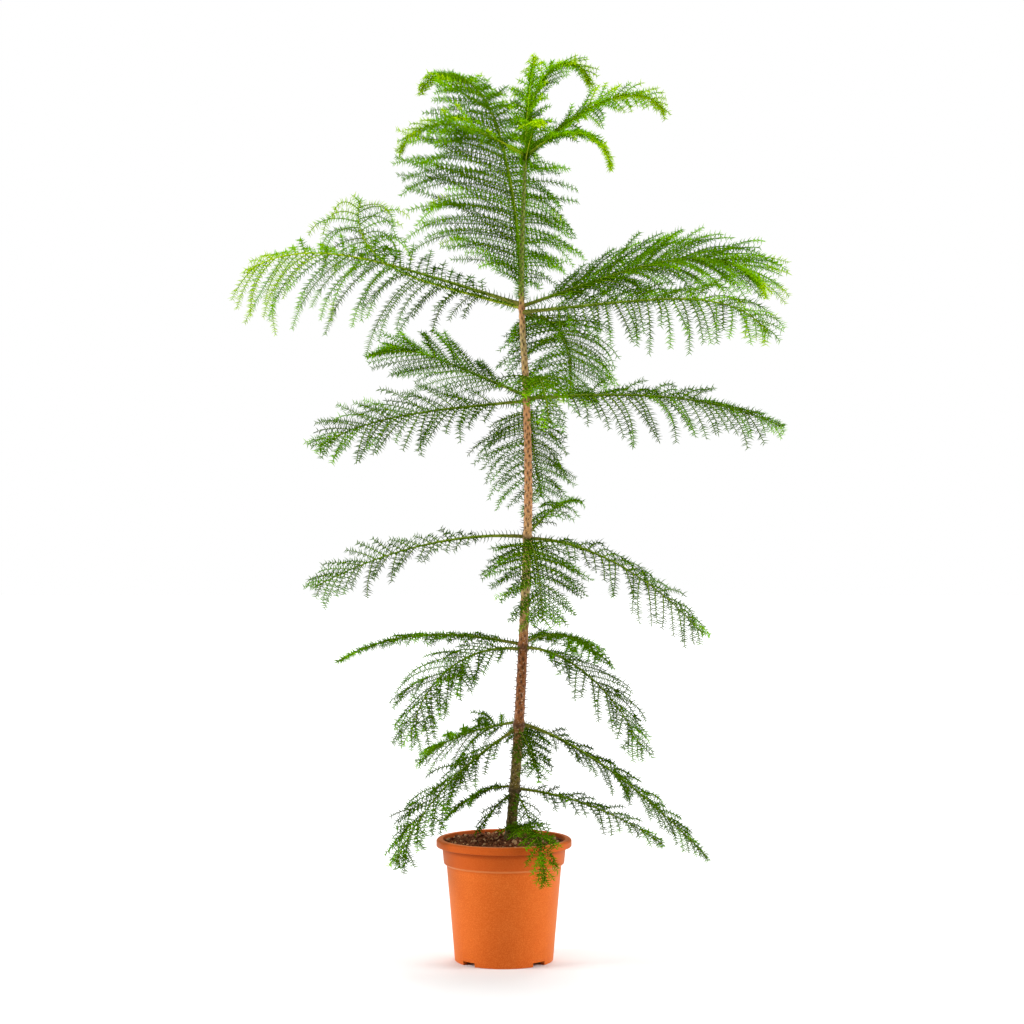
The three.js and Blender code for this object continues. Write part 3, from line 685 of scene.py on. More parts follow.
class Bough:
    """One bough: its row of the table in metres, and its rib."""

    def __init__(self, whorl, own, seed):
        fields = {**BOUGH_DEFAULTS, **whorl["common"], **own}
        fields["tone"] += whorl["tone"]
        fields["needle"] = whorl["needle"]
        fields.update({name: fields[name] * MM for name in LENGTH_FIELDS})
        fields["name"] = f"{whorl['name']}_{own['name']}"
        self.__dict__.update(fields)
        self.seed = seed
        height = whorl["height"] * MM + self.step
        share = (np.arange(RIB_STEPS) + 0.5) / RIB_STEPS
        slope = np.radians(self.rise + (self.fall - self.rise) * share**self.bend)
        turn = np.radians(self.azimuth + self.sweep * share)
        flat = np.cos(slope)
        self.headings = np.column_stack([flat * np.cos(turn), flat * np.sin(turn), np.sin(slope)])
        start = trunk_at(height)
        self.points = np.concatenate([start, start + np.cumsum(self.headings, axis=0) * self.length / RIB_STEPS])

    def on_rib(self, shares):
        """Places on the rib, with its heading and the directions across and above it there."""
        shares = np.atleast_1d(np.asarray(shares, float))
        k = np.minimum((shares * RIB_STEPS).astype(int), RIB_STEPS - 1)
        part = (shares * RIB_STEPS - k)[:, None]
        centre = self.points[k] * (1 - part) + self.points[k + 1] * part
        heading = self.headings[k]
        turn = math.radians(self.azimuth + self.sweep / 2)
        right = np.array((math.sin(turn), -math.cos(turn), 0))
        right = unit(right - heading * (heading @ right)[:, None])
        above = np.cross(right, heading)
        roll = math.radians(self.roll)
        across = right * math.cos(roll) + above * math.sin(roll)
        normal = above * math.cos(roll) - right * math.sin(roll)
        return centre, heading, across, normal

    def radius(self, shares):
        """Radius of the bough along its rib, swollen where it leaves the trunk."""
        foot = BOUGH_RADIUS + self.length * BOUGH_RADIUS_BY_LENGTH
        collar = BOUGH_COLLAR * np.exp(-shares * self.length / BOUGH_COLLAR_LENGTH)
        return foot * (BOUGH_TIP_SHARE + (1 - BOUGH_TIP_SHARE) * (1 - shares) ** BOUGH_TAPER + collar)

    def level(self, shares):
        """How pale the bough is along its rib, counted in shades."""
        return self.tone + self.ramp * (shares - LEVEL_MIDDLE)

    def sprays(self, spacing):
        """Lines of the branchlets, with each one's share of the rib and the direction that lies along the rib."""
        draw = seeded_draw(self.seed)
        chance = np.random.default_rng(self.seed)
        clad = self.length * (1 - self.bare)
        count = max(FEWEST_SPRAYS, int(2 * clad / (self.gap * spacing)))
        made = []
        for i in range(count):
            share = (i + SPRAY_EARLIEST + SPRAY_PLACE_SPREAD * next(draw)) / count
            side = 1 if i % 2 else -1
            place = self.bare + (LAST_SPRAY_AT - self.bare) * share
            centre, heading, across, normal = (part[0] for part in self.on_rib(place))
            start_size = self.first + (1 - self.first) * min(1, share / self.swell)
            end_size = self.last + (1 - self.last) * (1 - share**self.fade) ** self.taper
            size = start_size * end_size * (SPRAY_LEAST_SIZE + SPRAY_SIZE_SPREAD * next(draw))
            length = self.span * size * (1 + side * self.skew)
            turn = SPRAY_ANGLE_SPREAD * (next(draw) - 0.5)
            angle = math.radians(self.angle - TIP_NARROWING * share**3 + turn)
            lift = math.radians(self.lift + SPRAY_LIFT_SPREAD * (next(draw) - 0.5))
            outward = across * side * math.cos(lift) + normal * math.sin(lift)
            start = heading * math.cos(angle) + outward * math.sin(angle)
            sag = self.droop * (SHORT_SPRAY_SAG + (1 - SHORT_SPRAY_SAG) * min(1, size))
            sag *= 1 - RISING_SPRAY_STIFFNESS * max(0, start[2])
            sag *= 1 + SPRAY_SAG_SPREAD * (next(draw) - 0.5)
            curl = heading * SPRAY_CURL_SPREAD * (next(draw) - 0.5)
            line = sagging_line(centre, start, curl, sag, length)
            if is_blocked(line):
                continue
            made.append((line, share, heading))
            if chance.random() < self.forks and length > FORKED_LENGTH:
                along = unit(line[-1] - line[0])
                made += [(fork, share, along) for fork in forks_of(line, length, chance) if not is_blocked(fork)]
        return made


def sagging_line(centre, start, curl, sag, length):
    """Points of a twig that sets off along start, curls to one side and sags."""
    share = ((np.arange(SPRAY_STEPS) + 0.5) / SPRAY_STEPS)[:, None]
    steps = unit(start * (1 - sag * share) - UP * sag * share + curl * share) * length / SPRAY_STEPS
    return np.concatenate([centre[None], centre + np.cumsum(steps, axis=0)])


def forks_of(line, length, chance):
    """Short side twigs of a spray, on alternate sides."""
    made = []
    count = max(1, int(length / FORK_SPACING))
    for i in range(count):
        k = int(SPRAY_STEPS * (FORK_EARLIEST + FORK_PLACE_SPREAD * (i + chance.random()) / count))
        heading = unit(line[k + 1] - line[k])
        beside = unit(np.cross(heading, UP + chance.normal(0, FORK_TILT, 3))) * (1 if i % 2 else -1)
        angle = math.radians(chance.uniform(*FORK_ANGLES))
        start = heading * math.cos(angle) + beside * math.sin(angle)
        size = length * chance.uniform(*FORK_LENGTHS)
        made.append(sagging_line(line[k], start, heading * FORK_CURL, FORK_SAG, size))
    return made


def is_blocked(line):
    """Whether a branchlet would run into the trunk, the soil or the pot."""
    rest = line[2:]
    height = rest[:, 2]
    beside = np.linalg.norm(rest[:, :2] - trunk_at(height)[:, :2], axis=1)
    in_trunk = (beside < trunk_radius(height) + TRUNK_CLEARANCE) & (height < TRUNK_TOP)
    reach = np.linalg.norm(rest[:, :2], axis=1)
    in_pot = (reach < POT_HIGH.x + POT_SIDE_CLEARANCE) & (height < POT_HIGH.z + POT_TOP_CLEARANCE)
    return bool(in_trunk.any() or in_pot.any())


@functools.lru_cache(maxsize=1)
def grown_whorls():
    """Every whorl's name and its boughs."""
    made = []
    index = 0
    for whorl in WHORLS:
        boughs = []
        for own in whorl["boughs"]:
            boughs.append(Bough(whorl, own, SEED + SEED_STEP * index))
            index += 1
        made.append((whorl["name"], boughs))
    return made


@functools.lru_cache(maxsize=1)
def grown_sprays(spacing):
    """Every bough's branchlets, by the bough's name."""
    return {bough.name: bough.sprays(spacing) for _, boughs in grown_whorls() for bough in boughs}


def foliage_nodes(boughs):
    """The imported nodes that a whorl's twigs and needles stand for."""
    return [f"{bough.name}_foliage" for bough in boughs]


# Needles


class NeedleBed:
    """Roots of needles that have one shade: where they grow, their twig's heading, their outward side, their size."""

    FEWEST = 4
    EARLIEST = 0.3
    PLACE_SPREAD = 0.4
    TURNS = np.radians((-9, 9, 80))
    TURN_SPREAD = 0.14
    SIZES = (0.82, 1.14)
    TIP_LEAN = 0.55
    TIP_LEAN_POWER = 6
    LEAN_SPREAD = 0.07

    def __init__(self):
        self.parts = []

    def add(self, line, along_rib, gap, length, draw, taper=0.35, radii=0.0):
        """Clads a line in needles: two of three pairs stand out to its sides, the third above and below."""
        steps = np.linalg.norm(np.diff(line, axis=0), axis=1)
        count = max(self.FEWEST, int(steps.sum() / gap))
        order = np.arange(count)
        share = (order + self.EARLIEST + self.PLACE_SPREAD * draw.random(count)) / count
        at = np.interp(share * steps.sum(), np.concatenate([[0], np.cumsum(steps)]), np.arange(len(line)))
        k = np.minimum(at.astype(int), len(line) - 2)
        part = (at - k)[:, None]
        root = line[k] * (1 - part) + line[k + 1] * part
        heading = unit(line[k + 1] - line[k])
        flat = unit(along_rib - heading * (heading @ along_rib)[:, None])
        above = np.cross(flat, heading)
        pair = order // 2 % len(self.TURNS)
        turn = order % 2 * math.pi + self.TURNS[pair] + draw.normal(0, self.TURN_SPREAD, count)
        outward = flat * np.cos(turn)[:, None] + above * np.sin(turn)[:, None]
        size = length * draw.uniform(*self.SIZES, count) * (1 - taper * share**3)
        root = root + outward * np.interp(at, np.arange(len(line)), np.broadcast_to(radii, len(line)))[:, None]
        forward = self.TIP_LEAN * share**self.TIP_LEAN_POWER + draw.normal(0, self.LEAN_SPREAD, count)
        self.parts.append((root, heading, outward, size, forward))

    def gathered(self):
        """All roots as arrays."""
        return [np.concatenate(column) for column in zip(*self.parts)]


NEEDLE_MIDDLE = 0.6
NEEDLE_CORNERS = (math.pi / 2, math.pi * 7 / 6, math.pi * 11 / 6)
NEEDLE_FACES = np.array(
    [(0, 2, 1), (0, 1, 4), (0, 4, 3), (1, 2, 5), (1, 5, 4), (2, 0, 3), (2, 3, 5), (3, 4, 6), (4, 5, 6), (5, 3, 6)]
)


def needle_points(root, heading, outward, size, forward, settings):
    """Seven points for each needle: a ring of three at its root, a slimmer one half way along, and its tip."""
    side = np.cross(heading, outward)

    def direction(angle):
        return heading * np.cos(angle)[:, None] + outward * np.sin(angle)[:, None]

    lean = settings.needle_lean - forward
    first = direction(lean)
    second = direction(lean - settings.needle_curl)
    middle = root + first * (0.5 * size)[:, None]
    tip = middle + second * (0.5 * size)[:, None]
    above = np.cross(side, first)
    rings = []
    for centre, share in ((root, 1), (middle, NEEDLE_MIDDLE)):
        for turn in NEEDLE_CORNERS:
            rings.append(centre + (side * math.cos(turn) + above * math.sin(turn)) * share * settings.needle_radius)
    return np.stack([*rings, tip], axis=1)


def needle_pieces(name, bed, finish, settings):
    """Joins a bed's needles into one or more pieces, none of them too heavy."""
    columns = bed.gathered()
    count = len(columns[0])
    pieces = []
    batches = math.ceil(count / MOST_NEEDLES)
    for batch, chosen in enumerate(np.array_split(np.arange(count), batches)):
        points = needle_points(*(column[chosen] for column in columns), settings)
        faces = (np.arange(len(chosen)) * points.shape[1])[:, None, None] + NEEDLE_FACES
        label = name if batches == 1 else f"{name}_{batch + 1}"
        pieces.append(joined_mesh(label, finish, points.reshape(-1, 3), faces.reshape(-1, 3)))
    return pieces


def level_of(bough, share, draw):
    """How pale a spray is: more so towards the bough's tip, flushed at the very tip, and a little by chance."""
    return bough.level(share) + bough.flush * share**FLUSH_POWER + draw.normal(0, LEVEL_SPREAD)


def shade_at(level):
    """The shade of green for a level of paleness."""
    return SHADES[int(np.clip(round(level), 0, len(SHADES) - 1))]


# Operators


class PINE_OT_pot(Operator):
    """Turn the pot: tapered body, wider collar, turned-down lip, raised floor and notched foot"""

    bl_idname = "pine.pot"
    bl_label = "Pot"

    WALL = 1.9 * MM
    FOOT_RADIUS = 77 * MM
    FOOT_RING = 8 * MM
    FOOT_SLOPE = 1 * MM
    FLOOR_HEIGHT = 7 * MM
    FLOOR_THICKNESS = 2 * MM
    FLOOR_SLOPE = 0.6 * MM
    LEDGE_HEIGHT = 149 * MM
    LEDGE_RADIUS = 90 * MM
    COLLAR_HEIGHT = 152 * MM
    COLLAR_RADIUS = 94.4 * MM
    COLLAR_TOP_RADIUS = 97.8 * MM
    LIP_DEPTH = 11.6 * MM
    LIP_THICKNESS = 4 * MM
    LIP_CHAMFER = 2.6 * MM
    NOTCHES = 4
    NOTCH_WIDTH = 25 * MM
    NOTCH_HEIGHT = 6.5 * MM
    DRAIN_RADIUS = 5 * MM
    DRAIN_CIRCLE = 40 * MM
    DRAIN_SIDES = 24
    STEPS = 112
    ROUNDING = 0.9 * MM
    ROUNDED_ABOVE = math.radians(28)
    SHARP_ABOVE = math.radians(40)

    def outline(self, height, lip):
        """Radii and heights from the underside of the floor round to its top."""
        lip_under = height - self.LIP_THICKNESS
        lip_foot = height - self.LIP_DEPTH
        floor_top = self.FLOOR_HEIGHT + self.FLOOR_THICKNESS
        return (
            (0, self.FLOOR_HEIGHT),
            (self.FOOT_RADIUS - self.FOOT_RING - self.FOOT_SLOPE, self.FLOOR_HEIGHT),
            (self.FOOT_RADIUS - self.FOOT_RING, 0),
            (self.FOOT_RADIUS, 0),
            (self.LEDGE_RADIUS, self.LEDGE_HEIGHT),
            (self.COLLAR_RADIUS, self.COLLAR_HEIGHT),
            (self.COLLAR_TOP_RADIUS, lip_under),
            (lip - self.WALL, lip_under),
            (lip - self.WALL, lip_foot),
            (lip, lip_foot),
            (lip, height - self.LIP_CHAMFER),
            (lip - self.LIP_CHAMFER, height),
            (self.COLLAR_TOP_RADIUS - self.WALL, height),
            (self.COLLAR_RADIUS - self.WALL, self.COLLAR_HEIGHT + self.WALL / 2),
            (self.LEDGE_RADIUS - self.WALL, self.LEDGE_HEIGHT + self.WALL / 2),
            (self.FOOT_RADIUS - self.WALL + self.FLOOR_SLOPE, floor_top),
            (0, floor_top),
        )

    def cutter(self):
        """Notches in the foot ring and drain holes in the floor, as one cutting mesh."""
        made = bmesh.new()
        for i in range(self.NOTCHES):
            turn = Matrix.Rotation((i + 0.5) / self.NOTCHES * 2 * math.pi, 4, "Z")
            size = Matrix.Diagonal((4 * self.FOOT_RING, self.NOTCH_WIDTH, 2 * self.NOTCH_HEIGHT, 1))
            place = Matrix.Translation((self.FOOT_RADIUS, 0, 0))
            bmesh.ops.create_cube(made, size=1, matrix=turn @ place @ size)
            place = Matrix.Translation((self.DRAIN_CIRCLE, 0, self.FLOOR_HEIGHT))
            bmesh.ops.create_cone(
                made, cap_ends=True, segments=self.DRAIN_SIDES, radius1=self.DRAIN_RADIUS, radius2=self.DRAIN_RADIUS,
                depth=8 * self.FLOOR_THICKNESS, matrix=turn @ place,
            )
        return shown("pot_cutter", mesh_of("pot_cutter", made))

    def execute(self, context):
        settings = context.scene.potted_pine.pot
        made = lathe(self.outline(settings.height, settings.lip_radius), self.STEPS)
        bends = [edge for edge in made.edges if edge.is_manifold and edge.calc_face_angle(0) > self.ROUNDED_ABOVE]
        bmesh.ops.bevel(
            made, geom=bends, offset=self.ROUNDING, offset_type="OFFSET", affect="EDGES", segments=3, profile=0.5,
            material=-1, clamp_overlap=True,
        )
        piece = linked("pot_shell", mesh_of("pot_shell", made))
        cutter = self.cutter()
        cut = piece.modifiers.new("cut", "BOOLEAN")
        cut.object = cutter
        cut.operation = "DIFFERENCE"
        cut.solver = "EXACT"
        mesh = bpy.data.meshes.new_from_object(piece.evaluated_get(context.evaluated_depsgraph_get()))
        piece.modifiers.clear()
        piece.data = mesh
        bpy.data.objects.remove(cutter)
        mesh.materials.clear()
        mesh.materials.append(plastic_finish(settings))
        mesh.set_sharp_from_angle(angle=self.SHARP_ABOVE)
        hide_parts("pot")
        return {"FINISHED"}


class PINE_OT_soil(Operator):
    """Fill the pot with lumpy soil, and strew crumbs over it"""

    bl_idname = "pine.soil"
    bl_label = "Soil"

    STEPS = 120
    RINGS = 34
    EDGE_RADIUS = 93.9 * MM
    EDGE_DROP = 2.2 * MM
    BASE_INSET = 3 * MM
    DEPTH = 24 * MM
    LUMP = 3.2 * MM
    LUMP_SCALE = 95
    LUMP_NOISE = (0.9, 2.2, 3)
    MOST_RISE = 1.6 * MM
    TRUNK_ROOM = 12 * MM
    CRUMB_KINDS = {"earth": 0.46, "crumb": 0.36, "fleck": 0.18}
    CRUMB_SIZES = (0.9 * MM, 3.6 * MM)
    CRUMB_SIZE_POWER = 2.2
    CRUMB_SHAPES = (0.55, 1.15)
    CRUMB_SPIN = 6.28
    CRUMB_RISE = 0.3

    def from_trunk(self, x, y):
        """Distance from the trunk's foot, as a share of the room left round it."""
        return math.hypot(x - TRUNK_LINE[0, 1], y - TRUNK_LINE[0, 2]) / self.TRUNK_ROOM

    def surface(self, settings, x, y):
        """Height of the soil at a place: level by the trunk, lower at the edge, never far above the lip."""
        lump = self.LUMP * noise.fractal(Vector((x, y, 0)) * self.LUMP_SCALE, *self.LUMP_NOISE)
        rise = lump * (1 - math.exp(-(self.from_trunk(x, y) ** 2)))
        drop = self.EDGE_DROP * (math.hypot(x, y) / self.EDGE_RADIUS) ** 3
        return min(settings.soil_height - drop + rise, POT_HIGH.z + self.MOST_RISE)

    def bed(self, settings):
        """The soil's lumpy top, closed below."""
        top, base = settings.soil_height, settings.soil_height - self.DEPTH
        outline = [(self.EDGE_RADIUS * i / self.RINGS, top) for i in range(self.RINGS + 1)]
        outline += [(self.EDGE_RADIUS - self.BASE_INSET, base), (0, base)]
        made = lathe(outline, self.STEPS)
        for vert in made.verts:
            if vert.co.z > top - self.DEPTH / 2:
                vert.co.z = self.surface(settings, vert.co.x, vert.co.y)
        return linked("soil_bed", mesh_of("soil_bed", made))

    def crumbs(self, settings):
        """Crumbs of three kinds, partly sunk."""
        draw = np.random.default_rng(SEED)
        made = bmesh.new()
        low, high = self.CRUMB_SIZES
        shares = list(self.CRUMB_KINDS.values())
        for _ in range(settings.crumbs):
            reach = (self.EDGE_RADIUS - high) * math.sqrt(draw.random())
            turn = draw.uniform(0, 2 * math.pi)
            x, y = reach * math.cos(turn), reach * math.sin(turn)
            size = low + (high - low) * draw.random() ** self.CRUMB_SIZE_POWER
            kind = int(draw.choice(len(shares), p=shares))
            spin = Matrix.Rotation(draw.uniform(0, self.CRUMB_SPIN), 4, Vector(draw.normal(size=3)).normalized())
            shape = Matrix.Diagonal((*(size * draw.uniform(*self.CRUMB_SHAPES, 3)), 1))
            if self.from_trunk(x, y) < 1:
                continue
            place = Matrix.Translation((x, y, self.surface(settings, x, y) + self.CRUMB_RISE * size))
            start = len(made.faces)
            bmesh.ops.create_icosphere(made, subdivisions=1, radius=1, matrix=place @ spin @ shape)
            made.faces.ensure_lookup_table()
            for face in made.faces[start:]:
                face.material_index = kind
        return linked("soil_crumbs", mesh_of("soil_crumbs", made, smooth=False))

    def execute(self, context):
        settings = context.scene.potted_pine.pot
        bed = self.bed(settings)
        bed.data.materials.append(earth_finish(settings))
        crumbs = self.crumbs(settings)
        for name in self.CRUMB_KINDS:
            finish = plain_finish(f"soil_{name}_bits", getattr(settings, name), roughness=0.92, specular=0.2)
            crumbs.data.materials.append(finish)
        for piece in (bed, crumbs):
            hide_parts("soil")
        return {"FINISHED"}


class PINE_OT_trunk(Operator):
    """Raise the trunk, with leaf cushions, scars and knots in its bark"""

    bl_idname = "pine.trunk"
    bl_label = "Trunk"

    ROWS = 760
    SIDES = 40
    SINK = 1.5 * MM
    STEP_SPREAD = 0.6
    TURN_SPREAD = 0.12
    CUSHION_HEIGHT = 3.4 * MM
    CUSHION_WIDTH = 1.5 * MM
    CUSHION_REACH = 3
    CUSHION_DROP = 0.5
    CUSHION_SINK = 0.4
    # How far a scar lies above the middle of its cushion, and how much lower and narrower it is
    SCAR_RISE = 0.25
    SCAR_LOWNESS = 1.1
    SCAR_NARROWNESS = 0.85
    SCAR_DARKNESS = (0.85, 1)
    KNOT_HEIGHT = 5 * MM
    KNOT_LOBES = 3
    KNOT_LOBE_DEPTH = 0.25
    KNOT_DARKNESS = 0.75
    DARK_KNOTS_BELOW = 1.044
    LEADER_FOOT = 1.034
    LEADER_NEEDLE = 11 * MM
    LEADER_GAP = 1.2 * MM
    LEADER_TAPER = 0.1
    LEADER_TURNS = np.radians((0, 60))
    LEADER_POINTS = 40
    DRY_NEEDLE = 8 * MM
    DRY_POINTS = 20
    # Lowest and highest dry needle of a band, in metres, and how many needles it has
    DRY_BANDS = ((0.67, 0.835, 90), (0.38, 0.48, 46), (0.86, 0.98, 40), (0.27, 0.35, 24))
    ROOT_DEPTH = 0.9

    def relief(self, heights, turns, settings):
        """Raised cushions below each leaf scar, and how dark the scar is, at each point of the bark."""
        raised = np.zeros((len(heights), len(turns)))
        dark = np.zeros_like(raised)
        draw = np.random.default_rng(SEED + 1)
        count = int((TRUNK_TOP - TRUNK_FOOT) / settings.scar_step)
        for k in range(count):
            height = TRUNK_FOOT + (k + draw.uniform(-self.STEP_SPREAD, self.STEP_SPREAD)) * settings.scar_step
            turn = GOLDEN_TURN * k + draw.normal(0, self.TURN_SPREAD)
            rows = np.abs(heights - height) < self.CUSHION_REACH * self.CUSHION_HEIGHT
            rise = (heights[rows] - height)[:, None] / self.CUSHION_HEIGHT
            away = (turns - turn + math.pi) % (2 * math.pi) - math.pi
            away = away[None] * trunk_radius(height) / self.CUSHION_WIDTH
            cushion = np.exp(-((rise + self.CUSHION_DROP) ** 2) - away**2)
            scar = np.exp(-((self.SCAR_LOWNESS * (rise - self.SCAR_RISE)) ** 2) - (self.SCAR_NARROWNESS * away) ** 2)
            raised[rows] = np.maximum(raised[rows], cushion)
            dark[rows] = np.maximum(dark[rows], scar * draw.uniform(*self.SCAR_DARKNESS))
        return raised * settings.relief, dark

    def bark(self, settings):
        """The trunk's bark as one fine tube."""
        heights = np.linspace(TRUNK_FOOT - self.SINK, TRUNK_TOP, self.ROWS)
        turns = np.arange(self.SIDES) * 2 * math.pi / self.SIDES
        raised, dark = self.relief(heights, turns, settings)
        line = trunk_at(heights)
        line[:, 2] = heights
        plain = trunk_radius(heights)
        radii = plain[:, None] + raised - self.CUSHION_SINK * settings.relief
        lobes = 1 + self.KNOT_LOBE_DEPTH * np.cos(self.KNOT_LOBES * turns)
        for whorl in WHORLS[:-1]:
            near = np.exp(-(((heights - whorl["height"] * MM) / self.KNOT_HEIGHT) ** 2)) * (plain / TRUNK_RADIUS)
            radii = radii + settings.knot * near[:, None] * lobes
            dark = np.maximum(dark, self.KNOT_DARKNESS * near[:, None] * (heights < self.DARK_KNOTS_BELOW)[:, None])
        across = np.array([[1.0, 0, 0]])
        piece = tube_piece("trunk_bark", bark_finish(settings), line[None], radii[None], across, self.SIDES)
        point_numbers(piece, "scar", dark)
        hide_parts("trunk")

    def needles(self, settings):
        """Green needles on the leading shoot, and dry ones left on the trunk."""
        draw = np.random.default_rng(SEED + 2)
        leader, dry = NeedleBed(), NeedleBed()
        line = trunk_at(np.linspace(self.LEADER_FOOT, TRUNK_TOP, self.LEADER_POINTS))
        length = self.LEADER_NEEDLE * settings.needle_scale
        depth = self.ROOT_DEPTH * trunk_radius(line[:, 2])
        for turn in self.LEADER_TURNS:
            around = np.array((math.cos(turn), math.sin(turn), 0))
            leader.add(line, around, self.LEADER_GAP, length, draw, self.LEADER_TAPER, depth)
        length = self.DRY_NEEDLE * settings.needle_scale
        for low, high, count in self.DRY_BANDS:
            line = trunk_at(np.linspace(low, high, self.DRY_POINTS))
            depth = self.ROOT_DEPTH * trunk_radius(line[:, 2])
            dry.add(line, np.array((1.0, 0, 0)), (high - low) / count, length, draw, 0, depth)
        green = plain_finish("leader_green", settings.fresh)
        brown = plain_finish("dry_needle", settings.dry, roughness=0.8)
        pieces = needle_pieces("leader_needles", leader, green, settings)
        return pieces + needle_pieces("trunk_dry_needles", dry, brown, settings)

    def execute(self, context):
        pine = context.scene.potted_pine
        self.bark(pine.bark)
        for piece in self.needles(pine.foliage):
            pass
        return {"FINISHED"}


class PINE_OT_boughs(Operator):
    """Grow the boughs of each whorl from the trunk to their tips"""

    bl_idname = "pine.boughs"
    bl_label = "Boughs"

    ROWS = 80
    SIDES = 9
    RING_DEPTH = 0.06
    TIP_SHARE = 0.3

    def execute(self, context):
        finish = bough_finish(context.scene.potted_pine.bark)
        shares = np.linspace(0, 1, self.ROWS)
        draw = np.random.default_rng(SEED + 3)
        for name, boughs in grown_whorls():
            lines = np.array([bough.on_rib(shares)[0] for bough in boughs])
            across = np.array([bough.on_rib(0.5)[2][0] for bough in boughs])
            radii = np.array([bough.radius(shares) for bough in boughs])[:, :, None]
            radii = radii * (1 + self.RING_DEPTH * draw.normal(size=(len(boughs), self.ROWS, self.SIDES)))
            radii[:, -1] *= self.TIP_SHARE
            piece = tube_piece(f"{name}_boughs", finish, lines, radii, across, self.SIDES)
            levels = np.array([bough.level(shares) for bough in boughs])[:, :, None]
            point_numbers(piece, "along", np.broadcast_to(shares[:, None], radii.shape))
            paleness = np.clip(levels / (len(SHADES) - 1), 0, 1)
            point_numbers(piece, "paleness", np.broadcast_to(paleness, radii.shape))
            limbs = [f"{bough.name}_limb" for bough in boughs if not bough.limbless]
            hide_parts(*(limbs or foliage_nodes(boughs)))
        return {"FINISHED"}


class PINE_OT_twigs(Operator):
    """Grow the twigs of each whorl's sprays"""

    bl_idname = "pine.twigs"
    bl_label = "Twigs"

    SIDES = 4
    TAPER = 0.7
    OLD_TONE = 1.6

    def execute(self, context):
        settings = context.scene.potted_pine.foliage
        old = plain_finish("twig_old", settings.twig_old, roughness=0.6)
        young = plain_finish("twig_young", settings.twig_young, roughness=0.6)
        sprays = grown_sprays(settings.spray_spacing)
        radii = settings.twig_radius * (1 - self.TAPER * np.linspace(0, 1, SPRAY_STEPS + 1))[:, None]
        for whorl, (name, boughs) in zip(WHORLS, grown_whorls()):
            grown = [spray for bough in boughs for spray in sprays[bough.name]]
            lines = np.array([line for line, _, _ in grown])
            across = np.array([heading for _, _, heading in grown])
            finish = old if whorl["tone"] < self.OLD_TONE else young
            piece = tube_piece(f"{name}_twigs", finish, lines, radii, across, self.SIDES)
            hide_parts(*foliage_nodes(boughs))
        return {"FINISHED"}


class PINE_OT_needles(Operator):
    """Clad every twig and bough in needles, in shades from old to new that also carry painted light and shade"""

    bl_idname = "pine.needles"
    bl_label = "Needles"

    RIB_START = 0.02
    RIB_POINTS = 64
    RIB_PARTS = 8
    ROOT_DEPTH = 0.8
    TIP_STEP = 6

    def execute(self, context):
        settings = context.scene.potted_pine.foliage
        sprays = grown_sprays(settings.spray_spacing)
        finishes = {shade: plain_finish(f"needle_{shade}", getattr(settings, shade)) for shade in SHADES}
        draw = np.random.default_rng(SEED + 4)
        for name, boughs in grown_whorls():
            beds = {}
            for bough in boughs:
                length = settings.needle_scale * bough.needle
                gap = settings.needle_gap * length / USUAL_NEEDLE
                for line, share, heading in sprays[bough.name]:
                    level = level_of(bough, share, draw)
                    bed = beds.setdefault(shade_at(level), NeedleBed())
                    bed.add(line[: self.TIP_STEP + 1], heading, gap, length, draw, 0)
                    bed = beds.setdefault(shade_at(level + bough.tip), NeedleBed())
                    bed.add(line[self.TIP_STEP :], heading, gap, length, draw)
                for along in np.split(np.linspace(self.RIB_START, 1, self.RIB_POINTS), self.RIB_PARTS):
                    line, _, across, normal = bough.on_rib(along)
                    bed = beds.setdefault(shade_at(level_of(bough, along[-1], draw)), NeedleBed())
                    depth = self.ROOT_DEPTH * bough.radius(along)
                    for around in (across[0] + normal[0], across[0] - normal[0]):
                        bed.add(line, around, bough.rib * gap, length, draw, 0, depth)
            for shade, bed in sorted(beds.items()):
                for piece in needle_pieces(f"{name}_needles_{shade}", bed, finishes[shade], settings):
                    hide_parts(*foliage_nodes(boughs))
        return {"FINISHED"}


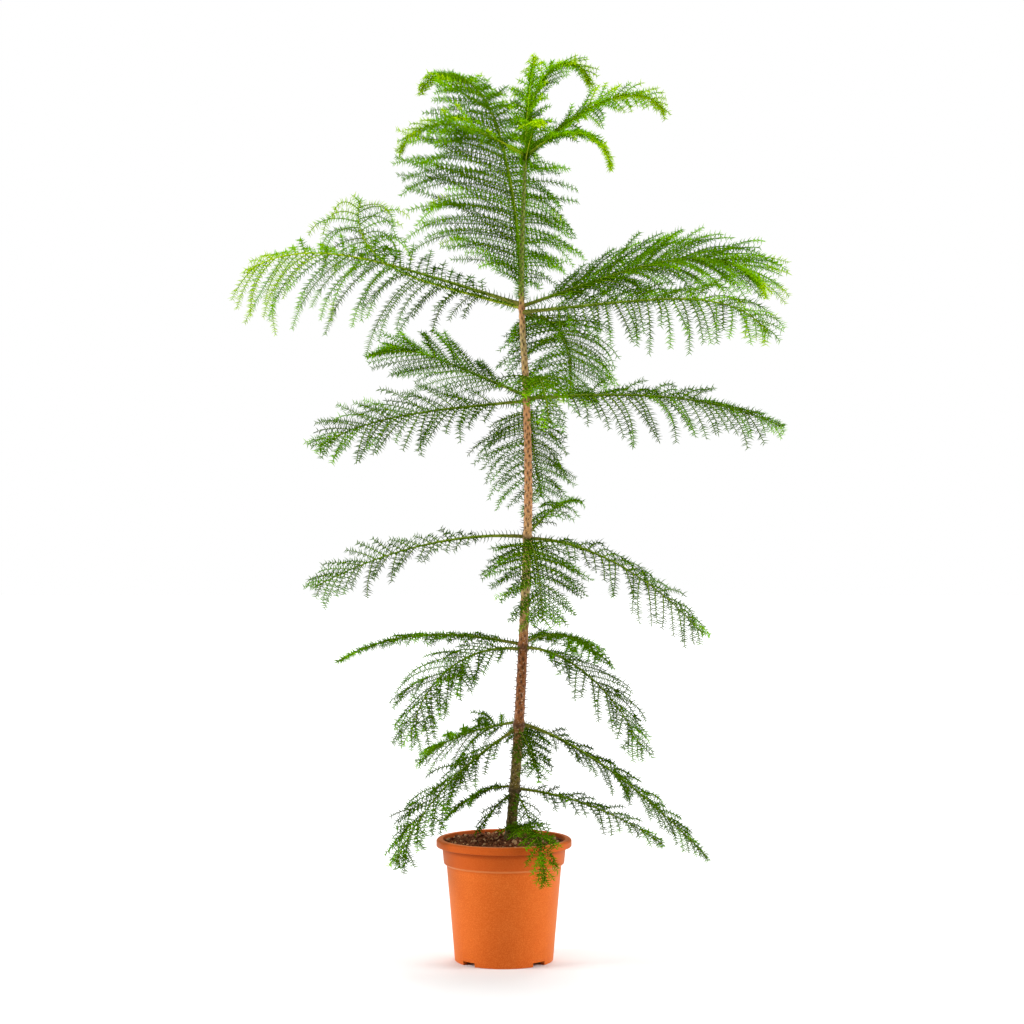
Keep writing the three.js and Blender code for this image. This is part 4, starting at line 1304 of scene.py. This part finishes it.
class PINE_OT_stage(Operator):
    """Lay a plain pale floor, and set soft light and the camera"""

    bl_idname = "pine.stage"
    bl_label = "Stage"

    # Name, direction and share of the strength
    LIGHTS = (
        ("left_light", (-1.0, -0.22, 0.5), 1.5),
        ("right_light", (1.0, -0.16, 0.46), 1.4),
        ("top_light", (0.06, 0.45, 1.0), 1.25),
    )
    SOFTNESS = math.radians(32)
    MOTTLE = 0.98
    SENSOR = 36
    FARTHEST = 100

    def floor(self, settings):
        """A wide flat floor."""
        made = bmesh.new()
        bmesh.ops.create_grid(made, x_segments=1, y_segments=1, size=settings.floor_size / 2)
        piece = shown("floor", mesh_of("floor", made))
        finish = Finish("floor_white")
        dull = [self.MOTTLE * part for part in settings.floor]
        tint = finish.mix(finish.noise(scale=1.2, detail=2), settings.floor, dull)
        piece.data.materials.append(finish.shade(Base_Color=tint, Roughness=0.9, Specular_IOR_Level=0.1))

    def sky(self, settings):
        """White all round, with its full strength only where the camera sees it."""
        world = bpy.data.worlds.new("white_sky")
        bpy.context.scene.world = world
        world.use_nodes = True
        tree = world.node_tree
        back = tree.nodes["Background"]
        path = tree.nodes.new("ShaderNodeLightPath")
        strength = tree.nodes.new("ShaderNodeMapRange")
        strength.inputs["To Min"].default_value = settings.sky
        strength.inputs["To Max"].default_value = 1.0
        tree.links.new(path.outputs["Is Camera Ray"], strength.inputs["Value"])
        tree.links.new(strength.outputs[0], back.inputs["Strength"])
        back.inputs["Color"].default_value = (1, 1, 1, 1)

    def lights(self, settings):
        """Broad soft lights from both sides and above."""
        for name, towards, share in self.LIGHTS:
            data = bpy.data.lights.new(name, "SUN")
            data.angle = self.SOFTNESS
            data.energy = settings.key * share
            light = shown(name, data)
            light.location = towards
            light.rotation_euler = Vector(towards).to_track_quat("Z", "Y").to_euler()

    def camera(self, settings):
        """The photograph's camera, level and square to the front."""
        data = bpy.data.cameras.new("photo_camera")
        data.sensor_width = self.SENSOR
        data.lens = settings.lens
        data.clip_end = self.FARTHEST
        camera = shown("photo_camera", data)
        camera.location = settings.camera_place
        camera.rotation_euler = (math.pi / 2, 0, 0)
        bpy.context.scene.camera = camera

    def execute(self, context):
        settings = context.scene.potted_pine.stage
        self.floor(settings)
        self.sky(settings)
        self.lights(settings)
        self.camera(settings)
        context.scene.view_settings.view_transform = "Standard"
        return {"FINISHED"}


OPERATORS = (PINE_OT_pot, PINE_OT_soil, PINE_OT_trunk, PINE_OT_boughs, PINE_OT_twigs, PINE_OT_needles, PINE_OT_stage)


class PINE_PT_panel(Panel):
    """Sidebar panel that lists the pieces and their settings"""

    bl_idname = "PINE_PT_panel"
    bl_label = "Potted pine"
    bl_space_type = "VIEW_3D"
    bl_region_type = "UI"
    bl_category = "Potted pine"

    def draw(self, context):
        settings = context.scene.potted_pine
        for operator in OPERATORS:
            self.layout.operator(operator.bl_idname)
        for name in PineSettings.__annotations__:
            group = getattr(settings, name)
            box = self.layout.box()
            box.label(text=name.capitalize())
            for field in type(group).__annotations__:
                box.prop(group, field)


CLASSES = (
    PinePotSettings, PineBarkSettings, PineFoliageSettings, PineStageSettings, PineSettings, *OPERATORS, PINE_PT_panel
)


def register():
    """Registers the classes and adds the settings to the scene."""
    for each in CLASSES:
        bpy.utils.register_class(each)
    bpy.types.Scene.potted_pine = PointerProperty(type=PineSettings)


def unregister():
    """Takes the settings and the classes away."""
    del bpy.types.Scene.potted_pine
    for each in reversed(CLASSES):
        bpy.utils.unregister_class(each)


def main():
    """Builds every piece."""
    register()
    bpy.ops.pine.stage()
    bpy.ops.pine.pot()
    bpy.ops.pine.soil()
    bpy.ops.pine.trunk()
    bpy.ops.pine.boughs()
    bpy.ops.pine.twigs()
    bpy.ops.pine.needles()


if __name__ == "__main__":
    main()
